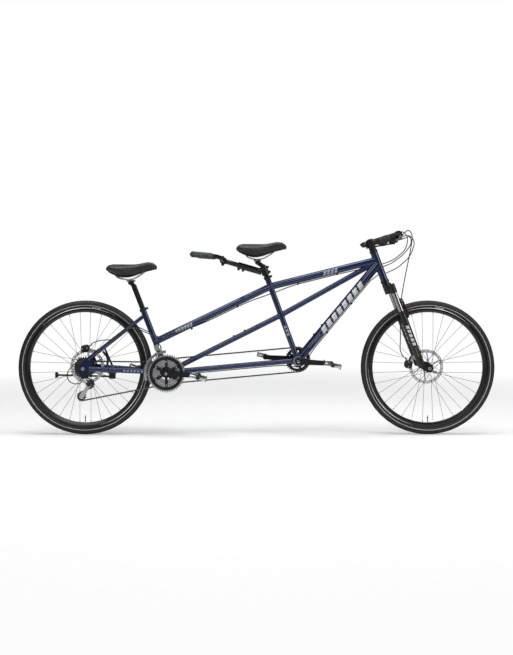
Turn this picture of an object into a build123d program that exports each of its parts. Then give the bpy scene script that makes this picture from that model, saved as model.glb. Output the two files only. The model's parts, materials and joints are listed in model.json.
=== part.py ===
"""Tandem bicycle: two riders, one welded frame, timing chain on the left and drive chain on the right.

Frame of the model (millimetres): +X is forward, +Z is up, the drive side is -Y.
The origin is on the ground, midway between the two wheel axles, in the middle plane of the frame.
Each sub-part is written to parts/NAME.step.
"""
from build123d import *
import os
from math import asin, atan2, cos, hypot, pi, radians, sin, tan

# ---------------------------------------------------------------- driving dimensions
WHEELBASE = 1791.0
TYRE_RADIUS = 350.0
TYRE_HALF_WIDTH = 20.0
RIM_OUTER_RADIUS = 309.0
RIM_INNER_RADIUS = 289.0
RIM_HALF_WIDTH = 12.0
SPOKES_PER_FLANGE = 16
SPOKE_RADIUS = 0.9
SPOKE_CROSSES = 3
VALVE_LENGTH = 38.0
ROTOR_RADIUS = 90.0
ROTOR_THICKNESS = 2.0

CHAIN_PITCH = 12.7
CRANK_LENGTH = 170.0
CRANK_DROOP_DEG = 3.3
PEDAL_TILT_DEG = 15.0
TIMING_TEETH = 32
TIMING_CENTRES = 54 * CHAIN_PITCH
TIMING_Y = 45.0
DRIVE_Y = -43.1
RING_TEETH = (28, 38, 48)
RING_STEP = 7.5
COG_TEETH = (28, 24, 21, 18, 16, 14, 12, 11)
COG_STEP = 4.8
DRIVE_COG = 18
PULLEY_TEETH = 11
TOOTH_THICKNESS = 2.0

CAPTAIN_BB_X = 216.0
CAPTAIN_BB_Z = 386.5
BB_LINE_DEG = 5.21
SHELL_HALF_WIDTH = 34.0
SPINDLE_RADIUS = 9.0

HEAD_ANGLE_DEG = 69.3
FORK_OFFSET = 50.3
AXLE_TO_HEAD_TUBE = 505.2
HEAD_TUBE_LENGTH = 157.0
HEAD_TUBE_RADIUS = 19.5
STEERER_RADIUS = 14.3
LEG_OFFSET = 17.0
LEG_Y = 64.0
STANCHION_RADIUS = 14.0
LOWER_LEG_RADIUS = 18.5

CAPTAIN_SEAT_ANGLE_DEG = 69.7
STOKER_SEAT_ANGLE_DEG = 68.8
SEAT_TUBE_RADIUS = 15.0
SEATPOST_RADIUS = 13.6
RUNNING_GAP = 0.05
CAPTAIN_SEAT_TUBE_TOP_Z = 823.0
STOKER_SEAT_TUBE_TOP_Z = 655.0

TOP_TUBE_RADIUS = 18.3
LATERAL_TUBE_RADIUS = 13.8
DOWN_TUBE_RADIUS = 22.3
BOOM_TUBE_RADIUS = 13.6
WALL = 1.6

CABLE_RADIUS = 2.5
FRONT_HUB_HALF = 50.0
REAR_HUB_HALF = 67.5
BAR_RADIUS = 11.1

# ---------------------------------------------------------------- derived places
UP = Vector(0, 0, 1)
REAR_AXLE = Vector(-WHEELBASE / 2, 0, TYRE_RADIUS)
FRONT_AXLE = Vector(WHEELBASE / 2, 0, TYRE_RADIUS)
CAPTAIN_BB = Vector(CAPTAIN_BB_X, 0, CAPTAIN_BB_Z)
BB_LINE = Vector(cos(radians(BB_LINE_DEG)), 0, sin(radians(BB_LINE_DEG)))
STOKER_BB = CAPTAIN_BB - BB_LINE * TIMING_CENTRES

STEER_UP = Vector(-cos(radians(HEAD_ANGLE_DEG)), 0, sin(radians(HEAD_ANGLE_DEG)))
STEER_FORWARD = Vector(sin(radians(HEAD_ANGLE_DEG)), 0, cos(radians(HEAD_ANGLE_DEG)))
HEAD_BOTTOM = FRONT_AXLE + STEER_UP * AXLE_TO_HEAD_TUBE - STEER_FORWARD * FORK_OFFSET


def steer(along, forward=0.0, y=0.0):
    """A point given along the steering axis, ahead of it, and to the left of it."""
    return HEAD_BOTTOM + STEER_UP * along + STEER_FORWARD * forward + Vector(0, y, 0)


def seat_direction(angle_deg):
    return Vector(-cos(radians(angle_deg)), 0, sin(radians(angle_deg)))


CAPTAIN_SEAT_UP = seat_direction(CAPTAIN_SEAT_ANGLE_DEG)
STOKER_SEAT_UP = seat_direction(STOKER_SEAT_ANGLE_DEG)


def captain_seat_line(z):
    return CAPTAIN_BB + CAPTAIN_SEAT_UP * ((z - CAPTAIN_BB.Z) / CAPTAIN_SEAT_UP.Z)


def stoker_seat_line(z):
    return STOKER_BB + STOKER_SEAT_UP * ((z - STOKER_BB.Z) / STOKER_SEAT_UP.Z)


CAPTAIN_TUBE_TOP = captain_seat_line(CAPTAIN_SEAT_TUBE_TOP_Z)
STOKER_TUBE_TOP = stoker_seat_line(STOKER_SEAT_TUBE_TOP_Z)


def pitch_radius(teeth):
    return CHAIN_PITCH / (2 * sin(pi / teeth))


# ---------------------------------------------------------------- shape helpers
def rod(start, end, radius):
    """A round bar from start to end."""
    start, end = Vector(start), Vector(end)
    axis = end - start
    bar = Cylinder(radius, axis.length, align=(Align.CENTER, Align.CENTER, Align.MIN))
    return Plane(origin=start, z_dir=axis) * bar


def pipe(start, end, outer, inner):
    return rod(start, end, outer) - rod(start, end, inner)


def disc(centre, y_low, y_high, outer, inner=0.0):
    """A disc or ring about a cross axis (along Y) through centre."""
    low = Vector(centre.X, y_low, centre.Z)
    high = Vector(centre.X, y_high, centre.Z)
    return pipe(low, high, outer, inner) if inner > 0 else rod(low, high, outer)


def side_plate(points, y_low, y_high):
    """A flat plate whose outline is given as (x, z) points, between two y values."""
    outline = Polyline(*[(x, z) for x, z in points], close=True)
    face = make_face(outline)
    return Plane((0, y_low, 0), x_dir=(1, 0, 0), z_dir=(0, -1, 0)) * extrude(face, amount=-(y_high - y_low))


def block(centre, size_x, size_y, size_z, along=None):
    """A box whose local X points along a direction in the XZ plane."""
    along = along or Vector(1, 0, 0)
    plane = Plane(origin=centre, x_dir=along, z_dir=Vector(0, -1, 0))
    return plane * Box(size_x, size_z, size_y)


def bend_radii(points):
    """The largest arc that fits at each inner point of a route."""
    radii = []
    for before, here, after in zip(points, points[1:], points[2:]):
        turn = radians((here - before).get_angle(after - here))
        shorter = min((here - before).length, (after - here).length)
        radii.append(0.45 * shorter / tan(turn / 2))
    return radii


def bent_tube(route, radius):
    """A round tube along straight runs joined by tangent arcs."""
    points = [Vector(*p) for p in route]
    if len(points) == 2:
        return rod(points[0], points[1], radius)
    path = FilletPolyline(*points, radius=bend_radii(points))
    return sweep(Plane(path @ 0, z_dir=path % 0) * Circle(radius), path=path)


def bent_pipe(route, outer, inner):
    return bent_tube(route, outer) - bent_tube(route, inner)


def mirrored(shape):
    return mirror(shape, about=Plane.XZ)


def both_sides(shape):
    return [shape, mirrored(shape)]


def ring_of(centre, y, radius, count, phase_deg=0.0):
    """Points evenly spaced on a circle about a cross axis."""
    places = []
    for i in range(count):
        angle = radians(phase_deg) + 2 * pi * i / count
        places.append(Vector(centre.X + radius * cos(angle), y, centre.Z + radius * sin(angle)))
    return places


def solids_of(items):
    """Every separate solid in a list of shapes."""
    found = []
    for item in items:
        found.extend(item.solids())
    return found


def biggest(shape):
    """The main solid left after a cut."""
    return max(shape.solids(), key=lambda s: s.volume)


def save(name, *items):
    pieces = solids_of(items)
    shape = pieces[0] if len(pieces) == 1 else Compound(children=pieces)
    shape.label = name
    export_step(shape, f"parts/{name}.step")
    return shape


def sprocket(centre, teeth, y, bore):
    """A toothed ring in the plane at y; the first tooth gap faces +X."""
    pitch = pitch_radius(teeth)
    root, tip = pitch - 4.0, pitch + 3.4
    points = []
    for i in range(teeth):
        gap = 2 * pi * i / teeth
        for share, radius in ((0.18, root), (0.42, tip), (0.58, tip), (0.82, root)):
            angle = gap + share * 2 * pi / teeth
            points.append((centre.X + radius * cos(angle), centre.Z + radius * sin(angle)))
    half = TOOTH_THICKNESS / 2
    return side_plate(points, y - half, y + half) - disc(centre, y - half - 1, y + half + 1, bore)


# ---------------------------------------------------------------- chain loops
def loop_tangent(start, end):
    """Straight run between two signed circles (x, z, radius) of a chain loop."""
    dx, dz = end[0] - start[0], end[1] - start[1]
    heading = atan2(dz, dx) - asin((start[2] - end[2]) / hypot(dx, dz))
    return heading


def loop_edges(circles):
    """Closed wire round the circles; a negative radius is passed on its other side."""
    count = len(circles)
    headings = [loop_tangent(circles[i], circles[(i + 1) % count]) for i in range(count)]
    edges = []
    for i, (x, z, radius) in enumerate(circles):
        turn_in, turn_out = headings[i - 1], headings[i]
        sweep_angle = (turn_out - turn_in) % (2 * pi)
        if radius > 0:
            sweep_angle -= 2 * pi
        normals = [turn_in + sweep_angle * share + pi / 2 for share in (0, 0.5, 1)]
        arc_points = [(x + radius * cos(a), z + radius * sin(a)) for a in normals]
        edges.append(ThreePointArc(*arc_points))
        nx, nz, next_radius = circles[(i + 1) % count]
        out = normals[2]
        edges.append(Line(arc_points[2], (nx + next_radius * cos(out), nz + next_radius * sin(out))))
    return edges


def loop_face(circles, offset):
    moved = [(x, z, radius + offset) for x, z, radius in circles]
    return make_face(loop_edges(moved))


def chain_loop(circles, y, runs):
    """Side plates of a roller chain as two ribbons, with rollers along its straight runs."""
    half_height, inner_half, outer_half = 4.0, 1.5, 3.1
    ribbon = loop_face(circles, half_height) - loop_face(circles, -half_height)
    pieces = []
    for low in (y - outer_half, y + inner_half):
        plane = Plane((0, low, 0), x_dir=(1, 0, 0), z_dir=(0, -1, 0))
        pieces.append(plane * extrude(ribbon, amount=-(outer_half - inner_half)))
    for index in runs:
        start, end = circles[index], circles[(index + 1) % len(circles)]
        heading = loop_tangent(start, end)
        nx, nz = cos(heading + pi / 2), sin(heading + pi / 2)
        first = Vector(start[0] + start[2] * nx, 0, start[1] + start[2] * nz)
        last = Vector(end[0] + end[2] * nx, 0, end[1] + end[2] * nz)
        count = int((last - first).length / CHAIN_PITCH)
        for step in range(3, count - 2, 2):
            place = first + (last - first).normalized() * (step * CHAIN_PITCH)
            pieces.append(disc(place, y - inner_half, y + inner_half, 3.6))
    return pieces


# ---------------------------------------------------------------- frame tubes
TOP_JOINT_HEAD = Vector(629.8, 0, 911.0)
LATERAL_JOINT_HEAD = Vector(632.2, 0, 903.9)
DOWN_JOINT_HEAD = Vector(636.5, 0, 892.8)
TOP_JOINT_SEAT = captain_seat_line(773.0)
LATERAL_JOINT_SEAT = captain_seat_line(623.0)
STOKER_TOP_JOINT = stoker_seat_line(484.4)
HEAD_TOP = steer(HEAD_TUBE_LENGTH)
CAPTAIN_SHELL_RADIUS = 30.0
STOKER_SHELL_RADIUS = 20.5


def bottom_bracket_shells():
    return [
        disc(CAPTAIN_BB, -SHELL_HALF_WIDTH, SHELL_HALF_WIDTH, CAPTAIN_SHELL_RADIUS, 26.0),
        disc(STOKER_BB, -SHELL_HALF_WIDTH, SHELL_HALF_WIDTH, STOKER_SHELL_RADIUS, 17.0),
    ]


def seat_tubes():
    bore = SEATPOST_RADIUS + RUNNING_GAP
    captain = pipe(CAPTAIN_BB, CAPTAIN_TUBE_TOP, SEAT_TUBE_RADIUS, bore)
    captain -= disc(CAPTAIN_BB, -60, 60, CAPTAIN_SHELL_RADIUS)
    stoker = pipe(STOKER_BB, STOKER_TUBE_TOP, SEAT_TUBE_RADIUS, bore)
    stoker -= disc(STOKER_BB, -60, 60, STOKER_SHELL_RADIUS)
    return [captain, stoker]


def main_tubes():
    """The long tubes, each mitred to the ones it is welded to."""
    head = rod(steer(-1), steer(HEAD_TUBE_LENGTH + 1), HEAD_TUBE_RADIUS)
    captain_seat = rod(CAPTAIN_BB, CAPTAIN_TUBE_TOP, SEAT_TUBE_RADIUS)
    stoker_seat = rod(STOKER_BB, STOKER_TUBE_TOP, SEAT_TUBE_RADIUS)
    captain_shell = disc(CAPTAIN_BB, -60, 60, CAPTAIN_SHELL_RADIUS)
    stoker_shell = disc(STOKER_BB, -60, 60, STOKER_SHELL_RADIUS)
    down_solid = rod(CAPTAIN_BB, DOWN_JOINT_HEAD, DOWN_TUBE_RADIUS)
    top_solid = rod(TOP_JOINT_SEAT, TOP_JOINT_HEAD, TOP_TUBE_RADIUS)

    down = pipe(CAPTAIN_BB, DOWN_JOINT_HEAD, DOWN_TUBE_RADIUS, DOWN_TUBE_RADIUS - WALL)
    down = down - head - captain_shell - captain_seat
    captain_top = pipe(TOP_JOINT_SEAT, TOP_JOINT_HEAD, TOP_TUBE_RADIUS, TOP_TUBE_RADIUS - WALL)
    captain_top = captain_top - head - captain_seat - down_solid
    lateral_front = pipe(LATERAL_JOINT_SEAT, LATERAL_JOINT_HEAD, LATERAL_TUBE_RADIUS, LATERAL_TUBE_RADIUS - WALL)
    lateral_front = lateral_front - head - captain_seat - down_solid - top_solid
    lateral_rear = pipe(STOKER_BB, LATERAL_JOINT_SEAT, LATERAL_TUBE_RADIUS, LATERAL_TUBE_RADIUS - WALL)
    lateral_rear = lateral_rear - captain_seat - stoker_shell - stoker_seat
    boom = pipe(STOKER_BB, CAPTAIN_BB, BOOM_TUBE_RADIUS, BOOM_TUBE_RADIUS - WALL)
    lateral_solid = rod(STOKER_BB, LATERAL_JOINT_SEAT, LATERAL_TUBE_RADIUS)
    boom = boom - captain_shell - stoker_shell - lateral_solid - captain_seat
    stoker_top = pipe(STOKER_TOP_JOINT, TOP_JOINT_SEAT, TOP_TUBE_RADIUS - 0.8, TOP_TUBE_RADIUS - 0.8 - WALL)
    stoker_top = stoker_top - captain_seat - stoker_seat
    tubes = [down, captain_top, lateral_front, lateral_rear, boom, stoker_top]
    return [biggest(tube) for tube in tubes]


def head_tube():
    return pipe(HEAD_BOTTOM, HEAD_TOP, HEAD_TUBE_RADIUS, 17.0)


# ---------------------------------------------------------------- rear triangle
DROPOUT_INNER = REAR_HUB_HALF + 0.1
DROPOUT_OUTER = DROPOUT_INNER + 5.4
SEAT_STAY_FOOT = Vector(-872.0, 70.5, 398.0)
SEAT_STAY_KNEE = Vector(-640.0, 40.0, 580.0)
SEAT_STAY_HEAD = Vector(-592.0, 19.0, 617.5)
CHAIN_STAY_HEAD = Vector(-483.0, 23.5, 325.5)
CHAIN_STAY_KNEE = Vector(-562.0, 34.0, 331.0)
CHAIN_STAY_FOOT = Vector(-866.0, 72.0, 349.0)
STAY_RADIUS = 9.3


def oval_stay():
    """Chain stay: an upright oval tube that widens the track past the tyre."""
    points = [CHAIN_STAY_HEAD, CHAIN_STAY_KNEE, CHAIN_STAY_FOOT]
    path = FilletPolyline(*points, radius=bend_radii(points))
    section = Plane(path @ 0, x_dir=(0, 0, 1), z_dir=path % 0) * Ellipse(13.0, 8.6)
    return sweep(section, path=path)


def dropout():
    """Plate with an open axle slot, an ear for each stay and a hanger below."""
    outline = [
        (-920, 362), (-905, 374), (-886, 392), (-876, 400), (-858, 398), (-852, 384),
        (-846, 362), (-846, 338), (-868, 334), (-882, 322), (-886, 300), (-906, 300),
        (-912, 318), (-918, 336),
    ]
    plate = side_plate(outline, DROPOUT_INNER, DROPOUT_OUTER)
    plate -= disc(REAR_AXLE, DROPOUT_INNER - 1, DROPOUT_OUTER + 1, 5.1)
    slot = Pos(REAR_AXLE.X - 20, (DROPOUT_INNER + DROPOUT_OUTER) / 2, REAR_AXLE.Z) * Box(40, 9, 10.2)
    return plate - slot


def rear_triangle():
    """Stays and dropouts of both sides, with the bridges and the brake brace, mitred where they meet."""
    end_plate = dropout()
    hub_room = disc(REAR_AXLE, 0, DROPOUT_INNER - 0.05, 70.0)
    seat_wall = rod(STOKER_BB, STOKER_TUBE_TOP, SEAT_TUBE_RADIUS + 0.02)
    shell_wall = disc(STOKER_BB, -60, 60, STOKER_SHELL_RADIUS + 0.02)
    chain_stay = oval_stay() - end_plate - shell_wall - hub_room - seat_wall
    chain_stay = biggest(chain_stay)
    seat_stay = bent_tube([SEAT_STAY_FOOT, SEAT_STAY_KNEE, SEAT_STAY_HEAD], STAY_RADIUS)
    seat_stay = biggest(seat_stay - end_plate - seat_wall - hub_room - chain_stay)
    left_side = [end_plate, chain_stay, seat_stay]
    stay_bridge = rod((-616, -30, 598.5), (-616, 30, 598.5), 5.5)
    chain_bridge = rod((-516, -21, 327.5), (-516, 21, 327.5), 6.0)
    brace = bent_tube([(-792, 63, 352), (-786, 64, 392), (-815, 63.5, 428)], 6.0)
    for wall in (chain_stay, mirrored(chain_stay)):
        chain_bridge -= wall
    for wall in (seat_stay, mirrored(seat_stay)):
        stay_bridge -= wall
    brace = biggest(brace - chain_stay - seat_stay)
    right_side = [mirrored(piece) for piece in left_side]
    return left_side + right_side + [biggest(stay_bridge), biggest(chain_bridge), brace]


# ---------------------------------------------------------------- bearings
def bearing_cups():
    """Headset cups and bottom-bracket cups, with the captain's eccentric insert."""
    bore = STEERER_RADIUS + RUNNING_GAP
    lower = pipe(steer(-11.5), steer(0), 22.5, bore) + pipe(steer(0), steer(8), 17.0, bore)
    upper = pipe(steer(HEAD_TUBE_LENGTH), steer(HEAD_TUBE_LENGTH + 10), 22.0, bore)
    upper += pipe(steer(HEAD_TUBE_LENGTH - 8), steer(HEAD_TUBE_LENGTH), 17.0, bore)
    cups = [lower, upper]
    spindle_bore = SPINDLE_RADIUS + RUNNING_GAP
    for side in (-1, 1):
        y_in, y_face, y_out = 20.0 * side, SHELL_HALF_WIDTH * side, (SHELL_HALF_WIDTH + 3.5) * side
        cup = disc(STOKER_BB, min(y_in, y_face), max(y_in, y_face), 17.0, spindle_bore)
        cup += disc(STOKER_BB, min(y_face, y_out), max(y_face, y_out), 19.5, spindle_bore)
        cups.append(cup)
        insert = disc(CAPTAIN_BB, min(y_in, y_face), max(y_in, y_face), 26.0, spindle_bore)
        insert += disc(CAPTAIN_BB, min(y_face, y_out), max(y_face, y_out), 24.5, spindle_bore)
        cups.append(insert)
    return cups


# ---------------------------------------------------------------- wheels
def tyre(axle):
    outer_wall = ThreePointArc((309.2, 9.6), (316.5, 17.2), (329.0, TYRE_HALF_WIDTH))
    outer_tread = ThreePointArc((329.0, TYRE_HALF_WIDTH), (343.8, 14.6), (TYRE_RADIUS, 0))
    inner_tread = ThreePointArc((345.6, 0), (340.6, 12.0), (329.0, 17.2))
    inner_wall = ThreePointArc((329.0, 17.2), (319.0, 14.8), (311.5, 7.4))
    bead = Line((311.5, 7.4), (309.2, 9.6))
    half = make_face([outer_wall, outer_tread, Line((TYRE_RADIUS, 0), (345.6, 0)), inner_tread, inner_wall, bead])
    half_ring = revolve(half, Axis.Y)
    casing = half_ring + mirrored(half_ring)
    centre = Pos(axle.X, 0, axle.Z)
    valve = rod((axle.X, 0, axle.Z - RIM_INNER_RADIUS + VALVE_LENGTH),
                (axle.X, 0, axle.Z - RIM_INNER_RADIUS + 0.1), 3.0)
    return [centre * casing, valve]


def rim(axle):
    """Deep black rim: sloping side walls, flat inner face, hollow box section."""
    outline = Polyline(
        (RIM_OUTER_RADIUS, RIM_HALF_WIDTH), (300, RIM_HALF_WIDTH), (RIM_INNER_RADIUS, 8.5),
        (RIM_INNER_RADIUS, -8.5), (300, -RIM_HALF_WIDTH), (RIM_OUTER_RADIUS, -RIM_HALF_WIDTH),
        (RIM_OUTER_RADIUS, -10.4), (303, -9.4), (303, 9.4), (RIM_OUTER_RADIUS, 10.4), close=True)
    return Pos(axle.X, 0, axle.Z) * revolve(make_face(outline), Axis.Y)


def spokes(axle, left_flange_y, right_flange_y, flange_radius):
    """Laced spokes: each runs to a rim hole a few crossings round, alternate ones each way."""
    step = 360.0 / SPOKES_PER_FLANGE
    wires = []
    for side, flange_y in ((1, left_flange_y), (-1, right_flange_y)):
        for k in range(SPOKES_PER_FLANGE):
            lead = 1 if k % 2 == 0 else -1
            hub_angle = radians(k * step + (step / 2 if side < 0 else 0) + step / 4)
            rim_angle = hub_angle + radians(lead * SPOKE_CROSSES * step)
            inset = flange_y + side * lead * 2.6
            start = Vector(axle.X + flange_radius * cos(hub_angle), inset, axle.Z + flange_radius * sin(hub_angle))
            reach = RIM_INNER_RADIUS - 0.1
            end = Vector(axle.X + reach * cos(rim_angle), side * 3.0, axle.Z + reach * sin(rim_angle))
            wires.append(rod(start, end, SPOKE_RADIUS))
    return wires


def rotor(axle, y):
    """Disc-brake rotor: slotted braking ring on six swept arms."""
    low, high = y - ROTOR_THICKNESS / 2, y + ROTOR_THICKNESS / 2
    disc_ring = disc(axle, low, high, ROTOR_RADIUS, 74.0)
    hub_ring = disc(axle, low, high, 26.0, 18.2)
    arms = []
    for i in range(6):
        inner, outer = radians(60 * i), radians(60 * i + 28)
        start = Vector(axle.X + 24 * cos(inner), y, axle.Z + 24 * sin(inner))
        end = Vector(axle.X + 76 * cos(outer), y, axle.Z + 76 * sin(outer))
        middle = (start + end) * 0.5
        arms.append(block(middle, (end - start).length, ROTOR_THICKNESS, 7.0, along=end - start))
    whole = disc_ring + hub_ring
    for arm in arms:
        whole += arm
    for i in range(24):
        angle = radians(15 * i)
        place = Vector(axle.X + (82 + 3 * (i % 2)) * cos(angle), y, axle.Z + (82 + 3 * (i % 2)) * sin(angle))
        whole -= disc(place, low - 1, high + 1, 2.6)
    return whole


def front_hub():
    bore = 4.5 + RUNNING_GAP
    shell = disc(FRONT_AXLE, -42, 38.8, 14.0, bore)
    shell += disc(FRONT_AXLE, -34, -31, 24.0, bore) + disc(FRONT_AXLE, 24, 27, 24.0, bore)
    shell += disc(FRONT_AXLE, 33, 38.8, 22.0, bore) + disc(FRONT_AXLE, 38.8, 41.4, 18.0, bore)
    return shell


def rear_hub():
    bore = 5.0 + RUNNING_GAP
    shell = disc(REAR_AXLE, -24.4, 50.8, 17.0, bore)
    shell += disc(REAR_AXLE, -24.0, -21.0, 27.0, bore) + disc(REAR_AXLE, 32, 35, 27.0, bore)
    shell += disc(REAR_AXLE, 42, 50.8, 22.0, bore) + disc(REAR_AXLE, 50.8, 53.4, 18.0, bore)
    return shell


def cassette():
    """Eight cogs and their spacers on one driving sleeve."""
    outermost = 62.3
    sleeve_radius = 16.5
    body = disc(REAR_AXLE, -64.5, -25.0, sleeve_radius, 5.0 + RUNNING_GAP)
    for i, teeth in enumerate(reversed(COG_TEETH)):
        y = -(outermost - COG_STEP * i)
        body += sprocket(REAR_AXLE, teeth, y, sleeve_radius - 1)
    return body


def axle_set(centre, half_width, radius, plate_outer):
    """Axle, locknuts inside the frame ends, and the quick release outside them."""
    outer = plate_outer + 0.1
    axle = disc(centre, -(outer + 6), outer + 6, radius)
    for side in (-1, 1):
        inner_nut = sorted((side * (half_width - 2.9), side * half_width))
        outer_nut = sorted((side * outer, side * (outer + 7)))
        axle += disc(centre, inner_nut[0], inner_nut[1], 8.5)
        axle += disc(centre, outer_nut[0], outer_nut[1], 9.5)
    lever_start = Vector(centre.X, outer + 10, centre.Z)
    lever_knee = lever_start + Vector(22, 3, -18)
    lever_end = lever_start + Vector(62, -2, -34)
    if centre.X < 0:
        lever_knee = lever_start + Vector(-22, 3, 20)
        lever_end = lever_start + Vector(-52, -2, 44)
    axle += disc(centre, outer + 6, outer + 13, 7.0)
    lever = bent_tube([lever_start, lever_knee, lever_end], 3.6)
    return axle + lever


# ---------------------------------------------------------------- cranks
def crank_direction(right):
    droop = radians(-CRANK_DROOP_DEG)
    sign = 1 if right else -1
    return Vector(cos(droop) * sign, 0, sin(droop) * sign)


ARM_INNER = 64.0
ARM_OUTER = 77.0


def crank_arm(centre, right):
    """A tapering arm from the spindle boss to the pedal eye."""
    heading = crank_direction(right)
    across = Vector(-heading.Z, 0, heading.X)
    eye = centre + heading * CRANK_LENGTH
    corners = []
    for place, half in ((centre, 15.0), (eye, 11.0)):
        corners.append((place + across * half, place - across * half))
    outline = [corners[0][0], corners[1][0], corners[1][1], corners[0][1]]
    low, high = (-ARM_OUTER, -ARM_INNER) if right else (ARM_INNER, ARM_OUTER)
    arm = side_plate([(p.X, p.Z) for p in outline], low, high)
    arm += disc(centre, low, high, 17.0) + disc(eye, low, high, 12.5)
    boss = (-ARM_INNER, -56.0) if right else (56.0, ARM_INNER)
    arm += disc(centre, boss[0], boss[1], 15.0)
    bolt_cap = (-ARM_OUTER - 1.5, -ARM_OUTER) if right else (ARM_OUTER, ARM_OUTER + 1.5)
    arm += disc(centre, bolt_cap[0], bolt_cap[1], 9.0)
    arm -= disc(centre, -62, 62, SPINDLE_RADIUS)
    return arm


def pedal_axle(centre, right):
    eye = centre + crank_direction(right) * CRANK_LENGTH
    sign = -1 if right else 1
    inner = eye + Vector(0, sign * ARM_OUTER, 0)
    collar = rod(inner, inner + Vector(0, sign * 6, 0), 8.0)
    return collar + rod(inner + Vector(0, sign * 5, 0), inner + Vector(0, sign * 92, 0), 4.5)


def spindle(centre):
    return disc(centre, -61.9, 61.9, SPINDLE_RADIUS)


def spider(centre, y_low, y_high, reach, arm_count, phase):
    """A hub plate with arms reaching out to the chainring bolts."""
    plate = disc(centre, y_low, y_high, 24.0, SPINDLE_RADIUS)
    middle_y = (y_low + y_high) / 2
    for tip in ring_of(centre, middle_y, reach, arm_count, phase):
        root = Vector(centre.X, middle_y, centre.Z)
        plate += block((root + tip) * 0.5, reach, y_high - y_low, 13.0, along=tip - root)
        plate += disc(tip, y_low, y_high, 7.5)
    return plate - disc(centre, y_low - 1, y_high + 1, SPINDLE_RADIUS)


def chainrings():
    """The three drive rings, each with its carrier web cut to open pockets."""
    rings = []
    for i, teeth in enumerate(RING_TEETH):
        y = DRIVE_Y - RING_STEP * i
        bore = (34.0, 50.0, 66.0)[i]
        rings.append(sprocket(STOKER_BB, teeth, y, bore))
    return rings


def ring_guard():
    """Black outer star that carries the rings and joins them to the crank."""
    y_low, y_high = -62.4, -59.3
    guard = disc(STOKER_BB, y_low, y_high, 87.0, 71.0)
    guard += spider(STOKER_BB, y_low, y_high, 76.0, 6, 30.0)
    outer_posts = [disc(p, -59.3, -51.7, 4.0) for p in ring_of(STOKER_BB, 0, 61.0, 6, 30.0)]
    inner_posts = [disc(p, -59.3, -44.15, 4.0) for p in ring_of(STOKER_BB, 0, 40.0, 6, 30.0)]
    for post in outer_posts + inner_posts:
        guard += post
    return guard


def timing_ring(centre):
    ring = sprocket(centre, TIMING_TEETH, TIMING_Y, 48.0)
    carrier = spider(centre, TIMING_Y + 1.0, TIMING_Y + 4.5, 53.0, 5, 0.0)
    boss = disc(centre, TIMING_Y + 1.0, 56.0, 15.0, SPINDLE_RADIUS)
    return [ring, carrier + boss]


def pedal(centre, right):
    """Platform pedal: centre barrel on the axle, two toothed cage rails and end plates."""
    eye = centre + crank_direction(right) * CRANK_LENGTH
    sign = -1 if right else 1
    bore = 4.5 + RUNNING_GAP
    y_start, y_end = ARM_OUTER + 8.0, ARM_OUTER + 96.0
    body = pipe(eye + Vector(0, sign * y_start, 0), eye + Vector(0, sign * y_end, 0), 11.0, bore)
    body += rod(eye + Vector(0, sign * (y_end - 2), 0), eye + Vector(0, sign * (y_end + 3), 0), 10.0)
    core = Pos(eye.X, sign * (y_start + 42), eye.Z) * Box(64, 62, 9)
    core -= rod(eye, eye + Vector(0, sign * 170, 0), 10.0)
    body += core
    for x_side in (-1, 1):
        rail = Pos(eye.X + x_side * 42, sign * (y_start + 44), eye.Z) * Box(5, 84, 24)
        body += rail
        body += Pos(eye.X + x_side * 35, sign * (y_start + 42), eye.Z) * Box(12, 50, 8)
    for y_plate in (y_start + 5, y_end - 6):
        end_plate = Pos(eye.X, sign * y_plate, eye.Z) * Box(84, 5, 18)
        end_plate -= rod(eye, eye + Vector(0, sign * 170, 0), 10.0)
        body += end_plate
    body -= rod(eye + Vector(0, sign * (y_start - 2), 0), eye + Vector(0, sign * (y_end - 2.5), 0), bore)
    return body.rotate(Axis(eye, (0, 1, 0)), PEDAL_TILT_DEG)


# ---------------------------------------------------------------- fork and steering
CROWN_TOP = -12.0
CROWN_BOTTOM = -74.0
LOWERS_TOP = -176.0
LOWERS_BOTTOM = -484.0


def fork_upper():
    """Steerer, crown and the two bright stanchions."""
    steerer = rod(steer(CROWN_TOP - 20), steer(226), STEERER_RADIUS)
    crown_race = rod(steer(CROWN_TOP - 10), steer(CROWN_TOP), 20.0)
    crown = rod(steer(CROWN_BOTTOM + 2), steer(CROWN_TOP - 8), 21.0)
    plane = Plane(origin=steer(-48, 8), x_dir=(0, 1, 0), z_dir=STEER_UP)
    bridge = plane * Box(2 * LEG_Y, 34, 36)
    shape = steerer + crown_race + crown + bridge
    for side in (-1, 1):
        y = side * LEG_Y
        shape += rod(steer(CROWN_BOTTOM, LEG_OFFSET, y), steer(-26, LEG_OFFSET, y), 17.5)
    return shape


def stanchions():
    legs = []
    for side in (-1, 1):
        y = side * LEG_Y
        legs.append(rod(steer(-330, LEG_OFFSET, y), steer(CROWN_BOTTOM, LEG_OFFSET, y), STANCHION_RADIUS))
    return legs


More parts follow.
